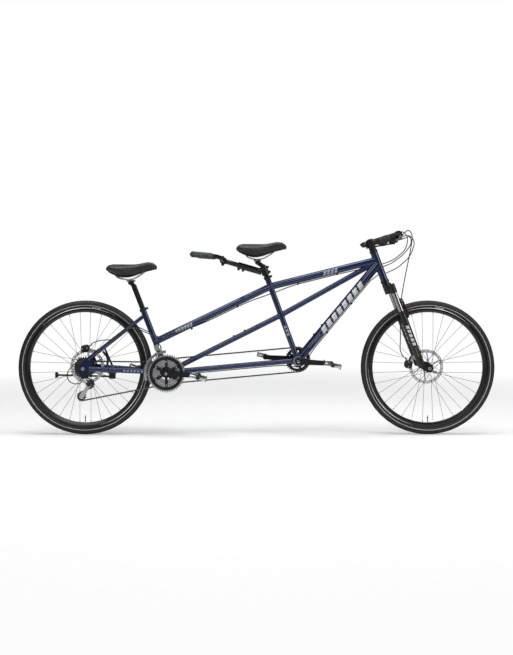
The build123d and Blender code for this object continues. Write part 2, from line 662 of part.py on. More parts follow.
def fork_lowers():
    """Both sliding legs, the arch that joins them ahead of the tyre, and the axle ends."""
    low, high = FRONT_HUB_HALF + 0.1, FRONT_HUB_HALF + 9.1
    bottom, top = steer(LOWERS_BOTTOM, LEG_OFFSET, LEG_Y), steer(LOWERS_TOP, LEG_OFFSET, LEG_Y)
    arch_plane = Plane(origin=steer(0, 37), x_dir=(0, 1, 0), z_dir=STEER_FORWARD)
    outer = Pos(0, -169, 0) * extrude(fillet(Rectangle(136, 102).vertices(), 30), amount=11)
    inner = Pos(0, -188, 0) * extrude(fillet(Rectangle(92, 104).vertices(), 26), amount=11)
    leg = rod(bottom, top, LOWER_LEG_RADIUS) + arch_plane * Pos(LEG_Y - 6, -203, -4) * Box(22, 34, 20)
    lug_points = [steer(-455, LEG_OFFSET - 12), steer(-455, LEG_OFFSET + 14), steer(-488, FORK_OFFSET + 13),
                  steer(-510, FORK_OFFSET + 14), steer(-520, FORK_OFFSET), steer(-514, FORK_OFFSET - 16),
                  steer(-486, LEG_OFFSET - 12)]
    lug = side_plate([(p.X, p.Z) for p in lug_points], low, high)
    leg = leg + lug - disc(FRONT_AXLE, low - 1, high + 1, 4.6)
    whole = leg + arch_plane * (outer - inner) + mirrored(leg)
    for side in (-1, 1):
        y = side * LEG_Y
        whole -= rod(steer(-420, LEG_OFFSET, y), steer(LOWERS_TOP + 1, LEG_OFFSET, y), STANCHION_RADIUS + RUNNING_GAP)
    return whole


def caliper(axle, y, out_direction, bracket_to, arm_way):
    """Cable disc caliper that straddles the rotor edge, with its arm and bracket."""
    tangent = Vector(-out_direction.Z, 0, out_direction.X) * arm_way
    middle = axle + out_direction * 94 + Vector(0, y, 0)
    body = block(middle + Vector(0, 9.0, 0), 40, 36.0, 44, along=out_direction)
    slot_centre = axle + out_direction * 74 + Vector(0, y, 0)
    body -= block(slot_centre, 44, 4.4, 60, along=out_direction)
    knob_centre = axle + out_direction * 94
    body += disc(knob_centre, y + 24, y + 34, 19.0)
    body += disc(knob_centre, y + 33, y + 38, 12.0)
    arm_end = knob_centre + tangent * 30 + out_direction * 14
    body += rod(knob_centre + Vector(0, y + 30.5, 0), arm_end + Vector(0, y + 30.5, 0), 3.2)
    body += rod(middle + Vector(0, 14, 0), bracket_to, 6.0)
    return body


FRONT_CALIPER_OUT = (steer(-463, -31.7) - steer(-505.2, FORK_OFFSET)).normalized()
REAR_CALIPER_OUT = Vector(cos(radians(97)), 0, sin(radians(97)))
FRONT_ROTOR_Y = 40.0
REAR_ROTOR_Y = 52.2


def front_caliper():
    mount = steer(-430, LEG_OFFSET - 20, LEG_Y - 4)
    body = caliper(FRONT_AXLE, FRONT_ROTOR_Y, FRONT_CALIPER_OUT, mount, -1)
    for side in (-1, 1):
        body -= rod(steer(LOWERS_BOTTOM - 1, LEG_OFFSET, side * LEG_Y),
                    steer(LOWERS_TOP, LEG_OFFSET, side * LEG_Y), LOWER_LEG_RADIUS + 0.1)
    return biggest(body)


def rear_caliper(stays):
    mount = Vector(-838.0, 66.0, 424.0)
    body = caliper(REAR_AXLE, REAR_ROTOR_Y, REAR_CALIPER_OUT, mount, -1)
    for stay in stays:
        body -= stay
    return biggest(body)


# ---------------------------------------------------------------- handlebars
BAR_CENTRE = Vector(742.0, 0, 1046.0)
BAR_BEND = BAR_CENTRE + Vector(0, 78.0, 0)
BAR_END = Vector(597.0, 326.0, 998.0)
BAR_OUT = (BAR_END - BAR_BEND).normalized()
GRIP_START_SHARE = 0.56
STOKER_BAR_CENTRE = Vector(-173.0, 0, 907.5)
STOKER_BAR_ROUTE = (
    Vector(-173.0, 52.0, 907.5), Vector(-190.0, 150.0, 928.0), Vector(-316.0, 268.0, 938.0),
)


def handlebar():
    """One bent tube, thicker where the stem holds it."""
    half = [BAR_BEND, BAR_END]
    route = [Vector(p.X, -p.Y, p.Z) for p in reversed(half)] + half
    return bent_tube(route, BAR_RADIUS) + disc(BAR_CENTRE, -38, 38, 12.7)


def grip_along(start, end, palm_up):
    """Ergonomic grip: a sleeve with a flattened palm rest behind it."""
    along = (end - start).normalized()
    sleeve = rod(start, end + along * 4, 15.5)
    behind = palm_up.cross(along).normalized()
    if behind.X > 0:
        behind = behind * -1
    wing_centre = end - along * 46 + behind * 17
    plane = Plane(origin=wing_centre, x_dir=along, z_dir=palm_up)
    wing = plane * Box(78, 30, 9)
    return sleeve + wing - rod(start - along * 5, end, BAR_RADIUS)


def captain_grip():
    start = BAR_BEND + (BAR_END - BAR_BEND) * GRIP_START_SHARE
    return grip_along(start, BAR_END, (UP - BAR_OUT * UP.dot(BAR_OUT)).normalized())


def stoker_bar():
    half = list(STOKER_BAR_ROUTE)
    route = [Vector(p.X, -p.Y, p.Z) for p in reversed(half)] + half
    return bent_tube(route, BAR_RADIUS) + disc(STOKER_BAR_CENTRE, -34, 34, 12.7)


def stoker_grip():
    start_knee, end = STOKER_BAR_ROUTE[1], STOKER_BAR_ROUTE[2]
    along = (end - start_knee).normalized()
    start = end - along * 122
    return grip_along(start, end, (UP - along * UP.dot(along)).normalized())


def clamp_ring(centre, half_width, outer, inner):
    return disc(centre, -half_width, half_width, outer, inner)


def stem():
    """Steerer clamp, extension and the two-bolt face clamp round the bar."""
    clamp_low, clamp_high = 184.0, 225.0
    collar = rod(steer(clamp_low), steer(clamp_high), 19.0)
    arm_start = steer(206, 12)
    body = collar + rod(arm_start, BAR_CENTRE - (BAR_CENTRE - arm_start).normalized() * 14, 15.5)
    body += clamp_ring(BAR_CENTRE, 22, 19.0, 12.75)
    body += rod(steer(192, -26, -10), steer(192, -26, 10), 4.0) + rod(steer(216, -26, -10), steer(216, -26, 10), 4.0)
    body += Plane(origin=steer(204, -20), x_dir=(0, 1, 0), z_dir=STEER_UP) * Box(16, 16, 34)
    body += rod(steer(clamp_high), steer(clamp_high + 4), 17.0)
    body -= rod(steer(clamp_low - 1), steer(226.02), STEERER_RADIUS)
    body -= disc(BAR_CENTRE, -40, 40, 12.72)
    return body


def steering_spacers():
    return pipe(steer(HEAD_TUBE_LENGTH + 10.4), steer(183.9), 18.0, STEERER_RADIUS)


SLEEVE_START = Vector(28.0, 0, 849.0)
TELESCOPE_AXIS = (STOKER_BAR_CENTRE - SLEEVE_START).normalized()
SLEEVE_END = SLEEVE_START + TELESCOPE_AXIS * 131
TELESCOPE_RADIUS = 12.6


def stoker_stem_clamp():
    """Collar on the captain's post and the outer sleeve of the telescopic stem."""
    foot = CAPTAIN_TUBE_TOP + CAPTAIN_SEAT_UP * 11
    head = CAPTAIN_TUBE_TOP + CAPTAIN_SEAT_UP * 58
    body = rod(foot, head, 20.0) + rod(SLEEVE_START, SLEEVE_END, 17.0)
    for share in (0.22, 0.78):
        middle = foot + (head - foot) * share
        forward = Vector(CAPTAIN_SEAT_UP.Z, 0, -CAPTAIN_SEAT_UP.X)
        body += block(middle + forward * 22, 12, 24, 12, along=forward)
        body += rod(middle + forward * 23 + Vector(0, -15, 0), middle + forward * 23 + Vector(0, 15, 0), 4.5)
    below = Vector(TELESCOPE_AXIS.Z, 0, -TELESCOPE_AXIS.X)
    if below.Z > 0:
        below = below * -1
    for back in (10, 34):
        lug = SLEEVE_END - TELESCOPE_AXIS * back + below * 19
        body += block(lug, 13, 22, 14, along=TELESCOPE_AXIS)
    body -= rod(foot - CAPTAIN_SEAT_UP * 5, head + CAPTAIN_SEAT_UP * 5, SEATPOST_RADIUS)
    body -= rod(SLEEVE_START + TELESCOPE_AXIS * 24, SLEEVE_END + TELESCOPE_AXIS * 2, TELESCOPE_RADIUS + RUNNING_GAP)
    return body


def stoker_stem_tube():
    """Inner telescope with the bar clamp on its end."""
    tip = STOKER_BAR_CENTRE - TELESCOPE_AXIS * 15
    body = rod(SLEEVE_END - TELESCOPE_AXIS * 62, tip, TELESCOPE_RADIUS)
    body += clamp_ring(STOKER_BAR_CENTRE, 20, 18.5, 12.72)
    for z_side in (-1, 1):
        ear = STOKER_BAR_CENTRE + Vector(-4, 0, z_side * 21)
        body += Pos(*ear) * Box(14, 34, 9)
    body -= disc(STOKER_BAR_CENTRE, -40, 40, 12.72)
    return body


# ---------------------------------------------------------------- controls on the captain's bar
BAR_UPWARD = (UP - BAR_OUT * UP.dot(BAR_OUT)).normalized()
BAR_AHEAD = BAR_OUT.cross(BAR_UPWARD).normalized()


def control_point(share, ahead=0.0, upward=0.0):
    """A point near the left half of the bar: share of the way out, then ahead and up."""
    return BAR_BEND + (BAR_END - BAR_BEND) * share + BAR_AHEAD * ahead + BAR_UPWARD * upward


LEVER_PIVOT = control_point(0.30, 30, -4)


def lever_perch():
    """Brake-lever clamp with its forked pivot lugs."""
    start, end = control_point(0.26), control_point(0.36)
    body = rod(start, end, 16.0)
    for z_side in (-1, 1):
        lug = LEVER_PIVOT - BAR_AHEAD * 10 + BAR_UPWARD * (z_side * 8.5)
        plane = Plane(origin=lug, x_dir=BAR_AHEAD, z_dir=BAR_UPWARD)
        body += plane * Box(36, 22, 5)
    barrel_start = control_point(0.26, 30, 0)
    body += rod(barrel_start - BAR_OUT * 26, barrel_start - BAR_OUT * 4, 5.5)
    body += rod(barrel_start - BAR_OUT * 6, control_point(0.30, 16, 0), 6.0)
    body -= rod(control_point(0.2), control_point(0.42), BAR_RADIUS + 0.02)
    clear = Plane(origin=LEVER_PIVOT, x_dir=BAR_AHEAD, z_dir=BAR_UPWARD) * Cylinder(17, 11.6)
    body = body - (clear - rod(control_point(0.24), control_point(0.4), 16.2))
    pin = rod(LEVER_PIVOT - BAR_UPWARD * 11, LEVER_PIVOT + BAR_UPWARD * 11, 3.0)
    return biggest(body + pin)


def shifter():
    """Shifter pod under the bar between the brake perch and the grip, with its two paddles."""
    start, end = control_point(0.39), control_point(0.53)
    body = rod(start, end, 15.0)
    pod_centre = control_point(0.45, 12, -27)
    plane = Plane(origin=pod_centre, x_dir=BAR_OUT, z_dir=BAR_UPWARD)
    body += plane * extrude(fillet(Rectangle(38, 40).vertices(), 9), amount=18)
    body -= rod(control_point(0.3), control_point(0.6), BAR_RADIUS + 0.02)
    return body


PADDLE_HINGE = control_point(0.45, 8, -31.6)


def shift_paddle():
    """Thumb paddle under the pod."""
    hinge = PADDLE_HINGE
    tip = control_point(0.50, -26, -35)
    body = rod(hinge - BAR_UPWARD * 3.2, hinge + BAR_UPWARD * 3.2, 11.0)
    body += rod(hinge, tip, 4.0)
    body += rod(tip - BAR_OUT * 9, tip + BAR_OUT * 9, 5.0)
    return body


def brake_lever():
    """Lever blade: pivot eye, then a blade sweeping out in front of the grip."""
    eye = rod(LEVER_PIVOT - BAR_UPWARD * 5.6, LEVER_PIVOT + BAR_UPWARD * 5.6, 10.0)
    route = [LEVER_PIVOT + BAR_AHEAD * 4, LEVER_PIVOT + BAR_AHEAD * 17 + BAR_OUT * 26,
             LEVER_PIVOT + BAR_AHEAD * 26 + BAR_OUT * 66, LEVER_PIVOT + BAR_AHEAD * 30 + BAR_OUT * 116,
             LEVER_PIVOT + BAR_AHEAD * 36 + BAR_OUT * 132]
    blade = bent_tube(route, 4.8)
    body = eye + blade
    return body - rod(LEVER_PIVOT - BAR_UPWARD * 12, LEVER_PIVOT + BAR_UPWARD * 12, 3.0 + RUNNING_GAP)


# ---------------------------------------------------------------- seats
STOKER_SADDLE_SHIFT = Vector(-678, 0, -106)


def saddle(centre_x, lift):
    """Padded saddle: broad tail, narrow raised nose, deep flanks."""
    stations = (
        (-106, 972, 8, 46), (-92, 974, 19, 70), (-60, 966, 29, 82), (-24, 960, 36, 76),
        (12, 960, 34, 58), (48, 967, 28, 38), (84, 977, 25, 27), (120, 986, 24, 22),
        (148, 982, 17, 17), (162, 976, 8, 9),
    )
    sections = []
    for x, z, half_height, half_width in stations:
        plane = Plane(origin=(x + centre_x, 0, z + lift), x_dir=(0, 1, 0), z_dir=(1, 0, 0))
        sections.append(plane * Ellipse(half_width, half_height))
    return loft(sections)


def saddle_rails(centre_x, lift, body):
    """Two bent steel rails under the saddle."""
    route = [(-62, 26, 944), (-46, 24, 925), (-8, 22, 914), (34, 22, 917), (74, 16, 941), (92, 10, 955)]
    rails = []
    for side in (-1, 1):
        points = [Vector(x + centre_x, side * y, z + lift) for x, y, z in route]
        rail = bent_tube(points, 3.5) - body
        rails.append(biggest(rail))
    return rails


def seatpost(tube_top, up, exposed, insert, setback_to):
    """Straight post, then a micro-adjust head set back under the rails."""
    top = tube_top + up * exposed
    post = rod(tube_top - up * insert, top, SEATPOST_RADIUS)
    post += rod(top - up * 6, setback_to, 11.5)
    head = rod(setback_to - Vector(0, 30, 0), setback_to + Vector(0, 30, 0), 12.0)
    clamp = Pos(setback_to.X, 0, setback_to.Z + 9) * Box(38, 62, 8)
    return post + head + clamp


def seat_collar(tube_top, up):
    """Split collar with its quick-release lever."""
    collar = pipe(tube_top - up * 10, tube_top + up * 2.5, 18.6, SEAT_TUBE_RADIUS)
    collar += pipe(tube_top, tube_top + up * 2.5, 18.6, SEATPOST_RADIUS + RUNNING_GAP)
    collar -= rod(tube_top - up * 20, tube_top + up * 20, SEATPOST_RADIUS + RUNNING_GAP)
    forward = Vector(up.Z, 0, -up.X)
    lug = tube_top - up * 4 + forward * 22
    collar += block(lug, 10, 20, 12, along=forward)
    collar += rod(lug + Vector(0, -22, 0), lug + Vector(0, 14, 0), 4.2)
    collar += rod(lug + Vector(0, -20, 0), lug + Vector(0, -22, 0) - forward * 36 - up * 6, 3.2)
    return collar


# ---------------------------------------------------------------- gears
HANGER_BOLT = Vector(-892.0, -76.0, 308.0)
LINK_TOP = Vector(-892.0, -80.0, 296.0)
LINK_BOTTOM = Vector(-862.0, -62.0, 268.0)
GUIDE_PULLEY = Vector(-866.0, DRIVE_Y, 268.0)
TENSION_PULLEY = Vector(-906.0, DRIVE_Y, 204.0)


def derailleur_upper_knuckle():
    """Hanger bolt and the knuckle that hangs from it."""
    body = disc(HANGER_BOLT, -84.0, -73.1, 10.0) + disc(HANGER_BOLT, -87.0, -84.0, 6.0)
    return body + rod(HANGER_BOLT + Vector(0, -5, 0), (-894, -81, 299), 6.0)


def derailleur_link():
    """The pair of parallel links that carry the lower knuckle."""
    along = (LINK_BOTTOM - LINK_TOP).normalized()
    first = LINK_TOP + along * 8
    last = LINK_BOTTOM - along * 22
    return rod(first, last, 5.2)


def derailleur_knuckle():
    """Lower knuckle with the spring barrel that the cage turns on."""
    return disc(Vector(GUIDE_PULLEY.X, 0, GUIDE_PULLEY.Z), -69.0, -53.8, 11.0)


def cage_plate(y_low, y_high):
    """Long-cage side plate joining the two pulley axles."""
    along = (TENSION_PULLEY - GUIDE_PULLEY).normalized()
    centre = (TENSION_PULLEY + GUIDE_PULLEY) * 0.5
    length = (TENSION_PULLEY - GUIDE_PULLEY).length
    middle = Vector(centre.X, (y_low + y_high) / 2, centre.Z)
    plate = block(middle, length, y_high - y_low, 17, along=along)
    return plate + disc(GUIDE_PULLEY, y_low, y_high, 13) + disc(TENSION_PULLEY, y_low, y_high, 13)


def derailleur_cage():
    """Two side plates joined by the pulley bolts."""
    outer = cage_plate(DRIVE_Y - 10.2, DRIVE_Y - 8.2)
    inner = cage_plate(DRIVE_Y + 8.2, DRIVE_Y + 10.2)
    cage = outer + inner
    for axle in (GUIDE_PULLEY, TENSION_PULLEY):
        cage += disc(axle, DRIVE_Y - 10.2, DRIVE_Y + 10.2, 3.0)
    return cage


def pulley(centre):
    wheel = sprocket(centre, PULLEY_TEETH, centre.Y, 9.0)
    hub = disc(centre, centre.Y - 4, centre.Y + 4, 9.2, 3.0 + RUNNING_GAP)
    return wheel + hub


FD_INNER_RADIUS = 104.0
FD_OUTER_RADIUS = 118.0


def front_derailleur_clamp():
    """Band on the seat tube and the fixed body of the front derailleur."""
    height = 452.0
    low, high = stoker_seat_line(height - 9), stoker_seat_line(height + 9)
    band = pipe(low, high, 18.5, SEAT_TUBE_RADIUS)
    middle = stoker_seat_line(height)
    band += block(middle + Vector(-2, -24, 2), 34, 14, 24, along=STOKER_SEAT_UP)
    return band - rod(STOKER_BB, STOKER_TUBE_TOP, SEAT_TUBE_RADIUS)


def ring_sector(y_low, y_high, start_deg, end_deg):
    """Part of a flat ring round the stoker's bottom bracket."""
    whole = disc(STOKER_BB, y_low, y_high, FD_OUTER_RADIUS, FD_INNER_RADIUS)
    reach = 1.5 * FD_OUTER_RADIUS
    corners = [(STOKER_BB.X, STOKER_BB.Z)]
    steps = 4
    for i in range(steps + 1):
        angle = radians(start_deg + (end_deg - start_deg) * i / steps)
        corners.append((STOKER_BB.X + reach * cos(angle), STOKER_BB.Z + reach * sin(angle)))
    return whole & side_plate(corners, y_low - 1, y_high + 1)


def front_derailleur_cage():
    """Two curved plates round the back of the rings; the outer one is longer."""
    middle_radius = (FD_INNER_RADIUS + FD_OUTER_RADIUS) / 2 + 2
    cage = ring_sector(-38.4, -36.8, 92, 162) + ring_sector(-48.6, -47.2, 92, 200)
    for angle in (radians(102), radians(159)):
        spot = STOKER_BB + Vector(cos(angle), 0, sin(angle)) * middle_radius
        cage += disc(spot, -48.0, -37.0, 3.2)
    top = STOKER_BB + Vector(cos(radians(102)), 0, sin(radians(102))) * middle_radius
    return cage + rod(top + Vector(0, -38, 0), (-500, -38, 443), 3.6)


# ---------------------------------------------------------------- kickstand
STAND_PIVOT = Vector(-765.0, 84.0, 292.0)
STAND_SPLAY_DEG = 12.0
STAND_AXIS = Vector(0, cos(radians(STAND_SPLAY_DEG)), sin(radians(STAND_SPLAY_DEG)))
STAND_FOOT = Vector(-1052.0, 84.0, 300.0)


def kickstand_mount(stays):
    """Bracket clamped under the chain stay with a strut up to the seat stay."""
    body = Pos(-765, 61, 322) * Box(46, 26, 20) + Pos(-765, 67, 300) * Box(34, 14, 34)
    body += rod((-752, 76, 318), (-808, 78.5, 444), 5.0)
    body += rod((-808, 78.5, 444), (-812, 66, 446), 5.0)
    for stay in stays:
        body -= stay
    return biggest(body)


def kickstand_leg():
    """Leg folded back beside the wheel, with a broad rubber foot."""
    eye = rod(STAND_PIVOT - STAND_AXIS * 6.5, STAND_PIVOT + STAND_AXIS * 9, 11.0)
    leg = rod(STAND_PIVOT + Vector(-4, 2, 0), STAND_FOOT, 5.0)
    foot_plane = Plane(origin=STAND_FOOT, x_dir=(0, 1, 0), z_dir=(-1, 0, 0))
    foot = foot_plane * extrude(Circle(7), amount=6) + foot_plane * Pos(0, 0, 6) * extrude(
        Rectangle(22, 26), amount=12, taper=-6)
    return eye + leg + foot


# ---------------------------------------------------------------- cables
def under_tube(start, end, radius, y, shares):
    """Points just below a frame tube, at the given shares of its length."""
    along = (end - start).normalized()
    below = Vector(along.Z, 0, -along.X)
    if below.Z > 0:
        below = below * -1
    points = []
    for share in shares:
        points.append(start + (end - start) * share + below * (radius + 4.0) + Vector(0, y, 0))
    return points


HEAD_PORTS = {"gear": Vector(640, 29, 872), "brake": Vector(636, 34, 885), "ring": Vector(650, 27, 838)}
PORT_STEP = Vector(-7, 0, -2)
CAPTAIN_TUBE_RUN = (TOP_JOINT_SEAT, TOP_JOINT_HEAD, TOP_TUBE_RADIUS)
STOKER_TUBE_RUN = (STOKER_TOP_JOINT, TOP_JOINT_SEAT, TOP_TUBE_RADIUS - 0.8)


def top_tube_route(y, side):
    """Under both top tubes, past the captain's seat tube on its left, then out beside the stoker's tube."""
    route = [Vector(560, 24 + y / 2, 866)]
    route += under_tube(*CAPTAIN_TUBE_RUN, y, (0.66, 0.20))
    route += [captain_seat_line(738) + Vector(2, 21 + y / 3, 0)]
    route += under_tube(*STOKER_TUBE_RUN, y, (0.80, 0.44))
    for share, out, below in ((0.33, 15, 18), (0.22, 22.5, 8)):
        route += [STOKER_TOP_JOINT + (TOP_JOINT_SEAT - STOKER_TOP_JOINT) * share + Vector(0, side * out, -below)]
    return route


def gear_cable():
    """Rear gear housing: top tubes, right seat stay, then the loop into the derailleur."""
    route = [HEAD_PORTS["gear"] + PORT_STEP] + top_tube_route(4.0, -1)
    route += [Vector(-497, -23, 497), Vector(-575, -37, 536), Vector(-655, -55, 571), Vector(-850, -82.5, 416),
              Vector(-939, -90, 376), Vector(-970, -93, 340), Vector(-974, -93, 308), Vector(-958, -91, 281),
              Vector(-925, -87, 272), Vector(-902, -83, 279)]
    return bent_tube(route, CABLE_RADIUS)


def rear_brake_cable():
    """Rear brake housing: top tubes, left seat stay, then the bow over to the caliper arm."""
    route = [HEAD_PORTS["brake"] + PORT_STEP] + top_tube_route(11.0, 1)
    route += [Vector(-497, 23, 497), Vector(-575, 37, 536), Vector(-655, 55, 571), Vector(-760, 69, 489),
              Vector(-828, 80, 486), Vector(-866, 83, 474), Vector(-879, 83, 466)]
    return bent_tube(route, CABLE_RADIUS)


def ring_cable():
    """Front gear housing: under the down tube and boom, then up behind the stoker's seat tube."""
    route = [HEAD_PORTS["ring"] + PORT_STEP]
    route += [Vector(600, 12, 805)]
    route += under_tube(CAPTAIN_BB, DOWN_JOINT_HEAD, DOWN_TUBE_RADIUS, 0.0, (0.86, 0.13))
    route += [CAPTAIN_BB + Vector(40, 0, -14), CAPTAIN_BB + Vector(10, 0, -38), CAPTAIN_BB + Vector(-60, 0, -25.5)]
    route += under_tube(STOKER_BB, CAPTAIN_BB, BOOM_TUBE_RADIUS, 0.0, (0.80, 0.08))
    route += [STOKER_BB + Vector(2, -5, -26.5), Vector(-498, -8, 309), Vector(-499, -10, 350), Vector(-529, -16, 428)]
    return bent_tube(route, CABLE_RADIUS)


def steering_cables():
    """The four housings that bow forward from the captain's controls."""
    lever_exit = control_point(0.26, 30, 0) - BAR_OUT * 26
    shift_exit = control_point(0.384, 12, -21)
    shift_knee = control_point(0.14, 26, -22)
    right_shift_knee = Vector(shift_knee.X, -shift_knee.Y, shift_knee.Z)
    right_lever_exit = Vector(lever_exit.X, -lever_exit.Y, lever_exit.Z)
    right_shift_exit = Vector(shift_exit.X, -shift_exit.Y, shift_exit.Z)
    brake = [lever_exit, Vector(776, 84, 1070), Vector(800, 40, 1036), Vector(786, 10, 968),
             Vector(722, 22, 913), Vector(668, 34, 892), HEAD_PORTS["brake"]]
    ring = [shift_exit, shift_knee, Vector(804, 62, 1050), Vector(836, 30, 1012), Vector(808, 10, 930),
            Vector(738, 20, 868), Vector(676, 27, 841), HEAD_PORTS["ring"]]
    gear = [right_shift_exit, right_shift_knee, Vector(796, -62, 1036), Vector(808, -26, 996),
            Vector(768, -4, 938), Vector(706, 24, 892), Vector(662, 29, 876), HEAD_PORTS["gear"]]
    front = [right_lever_exit, Vector(780, -88, 1070), Vector(812, -40, 1042), Vector(804, -2, 950),
             Vector(792, 44, 860), Vector(776, 84, 742), Vector(764, 90, 640), Vector(768, 91, 500),
             Vector(764, 87, 430), Vector(783, 80, 396)]
    return [bent_tube(route, CABLE_RADIUS) for route in (brake, ring, gear, front)]


# ---------------------------------------------------------------- small fittings
def cable_clips(cables):
    """Saddles that hold the housings against the tubes."""
    clips = []
    places = [(CAPTAIN_TUBE_RUN, (0.25, 0.62)), (STOKER_TUBE_RUN, (0.3, 0.7))]
    for run, shares in places:
        along = (run[1] - run[0]).normalized()
        for point in under_tube(*run, 7.5, shares):
            clips.append(block(point, 9, 18, 7.6, along=along))
    down_run = (CAPTAIN_BB, DOWN_JOINT_HEAD, DOWN_TUBE_RADIUS)
    along = (down_run[1] - down_run[0]).normalized()
    for point in under_tube(*down_run, 0.0, (0.32, 0.62)):
        clips.append(block(point, 9, 11, 7.6, along=along))
    cut = []
    for clip in clips:
        for cable in cables:
            clip -= cable
        for run in (CAPTAIN_TUBE_RUN, STOKER_TUBE_RUN, down_run):
            clip -= rod(run[0], run[1], run[2] + 0.02)
        cut.append(biggest(clip))
    return cut


def bottle_bosses():
    """Pairs of bosses with their screws on the down tube and the rear lateral tube."""
    bosses = []
    down_along = (DOWN_JOINT_HEAD - CAPTAIN_BB).normalized()
    lateral_along = (LATERAL_JOINT_SEAT - STOKER_BB).normalized()
    spots = [(CAPTAIN_BB, down_along, share, DOWN_TUBE_RADIUS) for share in (158.0, 222.0)]
    spots += [(STOKER_BB, lateral_along, share, LATERAL_TUBE_RADIUS) for share in (396.0, 460.0)]
    for root, along, distance, radius in spots:
        above = Vector(-along.Z, 0, along.X)
        foot = root + along * distance + above * (radius + 0.05)
        bosses.append(rod(foot, foot + above * 2.2, 5.0) + rod(foot, foot + above * 4.6, 3.6))
    return bosses


# ---------------------------------------------------------------- drive
TIMING_LOOP = ((STOKER_BB.X, STOKER_BB.Z, pitch_radius(TIMING_TEETH)),
               (CAPTAIN_BB.X, CAPTAIN_BB.Z, pitch_radius(TIMING_TEETH)))
DRIVE_LOOP = ((REAR_AXLE.X, REAR_AXLE.Z, pitch_radius(DRIVE_COG)),
              (STOKER_BB.X, STOKER_BB.Z, pitch_radius(RING_TEETH[0])),
              (TENSION_PULLEY.X, TENSION_PULLEY.Z, pitch_radius(PULLEY_TEETH)),
              (GUIDE_PULLEY.X, GUIDE_PULLEY.Z, -pitch_radius(PULLEY_TEETH)))


def save_frame():
    save("welded_frame", head_tube(), *seat_tubes(), *main_tubes(), *bottom_bracket_shells(), *rear_triangle())
    stays = solids_of([oval_stay(), bent_tube([SEAT_STAY_FOOT, SEAT_STAY_KNEE, SEAT_STAY_HEAD], STAY_RADIUS)])
    save("bearing_cups", *bearing_cups())
    save("seat_collars", seat_collar(CAPTAIN_TUBE_TOP, CAPTAIN_SEAT_UP),
         seat_collar(STOKER_TUBE_TOP, STOKER_SEAT_UP))
    cables = [gear_cable(), rear_brake_cable(), ring_cable()]
    save("frame_cables", *cables)
    save("frame_fittings", *cable_clips(cables), *bottle_bosses(), kickstand_mount(stays),
         derailleur_upper_knuckle())
    save("rear_caliper", rear_caliper(stays))
    save("front_derailleur_clamp", front_derailleur_clamp())
    save("drive_chain", *chain_loop(DRIVE_LOOP, DRIVE_Y, (0, 1)))
    save("timing_chain", *chain_loop(TIMING_LOOP, TIMING_Y, (0, 1)))


def save_wheels():
    for place, axle in (("rear", REAR_AXLE), ("front", FRONT_AXLE)):
        save(f"{place}_tyre", *tyre(axle))
        save(f"{place}_rim", rim(axle))
    save("front_spokes", *spokes(FRONT_AXLE, 25.5, -32.5, 22.0))
    save("rear_spokes", *spokes(REAR_AXLE, 33.5, -22.5, 25.0))
    save("front_hub", front_hub())
    save("rear_hub", rear_hub())
    save("front_rotor", rotor(FRONT_AXLE, FRONT_ROTOR_Y))
    save("rear_rotor", rotor(REAR_AXLE, REAR_ROTOR_Y))
    save("front_axle", axle_set(FRONT_AXLE, FRONT_HUB_HALF, 4.5, FRONT_HUB_HALF + 9.1))
    save("rear_axle", axle_set(REAR_AXLE, REAR_HUB_HALF, 5.0, DROPOUT_OUTER))
    save("cassette", cassette())


def save_cranks():
    save("chainrings", *chainrings())
    for who, centre in (("stoker", STOKER_BB), ("captain", CAPTAIN_BB)):
        right_arm, left_arm = crank_arm(centre, True), crank_arm(centre, False)
        if who == "stoker":
            right_arm += ring_guard()
        save(f"{who}_cranks", right_arm, left_arm)
        save(f"{who}_timing_ring", *timing_ring(centre))
        save(f"{who}_crank_axles", spindle(centre), pedal_axle(centre, True), pedal_axle(centre, False))
        for side, right in (("right", True), ("left", False)):
            save(f"{who}_{side}_pedal", pedal(centre, right))


def save_steering():
    save("fork_upper", fork_upper(), *stanchions())
    save("fork_lowers", fork_lowers())
    save("front_caliper", front_caliper())
    save("stem", stem(), steering_spacers())
    save("handlebar", handlebar())
    save("captain_grips", *both_sides(captain_grip()))
    save("bar_controls", *both_sides(lever_perch()), *both_sides(shifter()))
    save("left_brake_lever", brake_lever())
    save("right_brake_lever", mirrored(brake_lever()))
    save("left_shift_paddle", shift_paddle())
    save("right_shift_paddle", mirrored(shift_paddle()))
    save("steering_cables", *steering_cables())


def save_seats():
    captain_head = Vector(4, 0, 899)
    stoker_head = Vector(-657, 0, 793.5)
    shift, lift = STOKER_SADDLE_SHIFT.X, STOKER_SADDLE_SHIFT.Z
    captain_post = seatpost(CAPTAIN_TUBE_TOP, CAPTAIN_SEAT_UP, 66, 130, captain_head)
    stoker_post = seatpost(STOKER_TUBE_TOP, STOKER_SEAT_UP, 134, 170, stoker_head)
    save("captain_seatpost", captain_post, *saddle_rails(0, 0, captain_post))
    save("captain_saddle", saddle(0, 0))
    save("stoker_seatpost", stoker_post, *saddle_rails(shift, lift, stoker_post))
    save("stoker_saddle", saddle(shift, lift))
    save("stoker_stem_clamp", stoker_stem_clamp())
    save("stoker_stem_tube", stoker_stem_tube())
    save("stoker_handlebar", stoker_bar())
    save("stoker_grips", *both_sides(stoker_grip()))


def save_gears():
    save("derailleur_link", derailleur_link())
    save("derailleur_knuckle", derailleur_knuckle())
    save("derailleur_cage", derailleur_cage())
    save("guide_pulley", pulley(GUIDE_PULLEY))
    save("tension_pulley", pulley(TENSION_PULLEY))
    save("front_derailleur_cage", front_derailleur_cage())
    save("kickstand_leg", kickstand_leg())


if __name__ == "__main__":
    os.makedirs("parts", exist_ok=True)
    save_frame()
    save_wheels()
    save_cranks()
    save_steering()
    save_seats()
    save_gears()
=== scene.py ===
"""Tandem bicycle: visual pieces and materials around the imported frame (metres, +X forward, +Z up)."""

import json
from math import asin, atan2, cos, hypot, pi, radians, sin

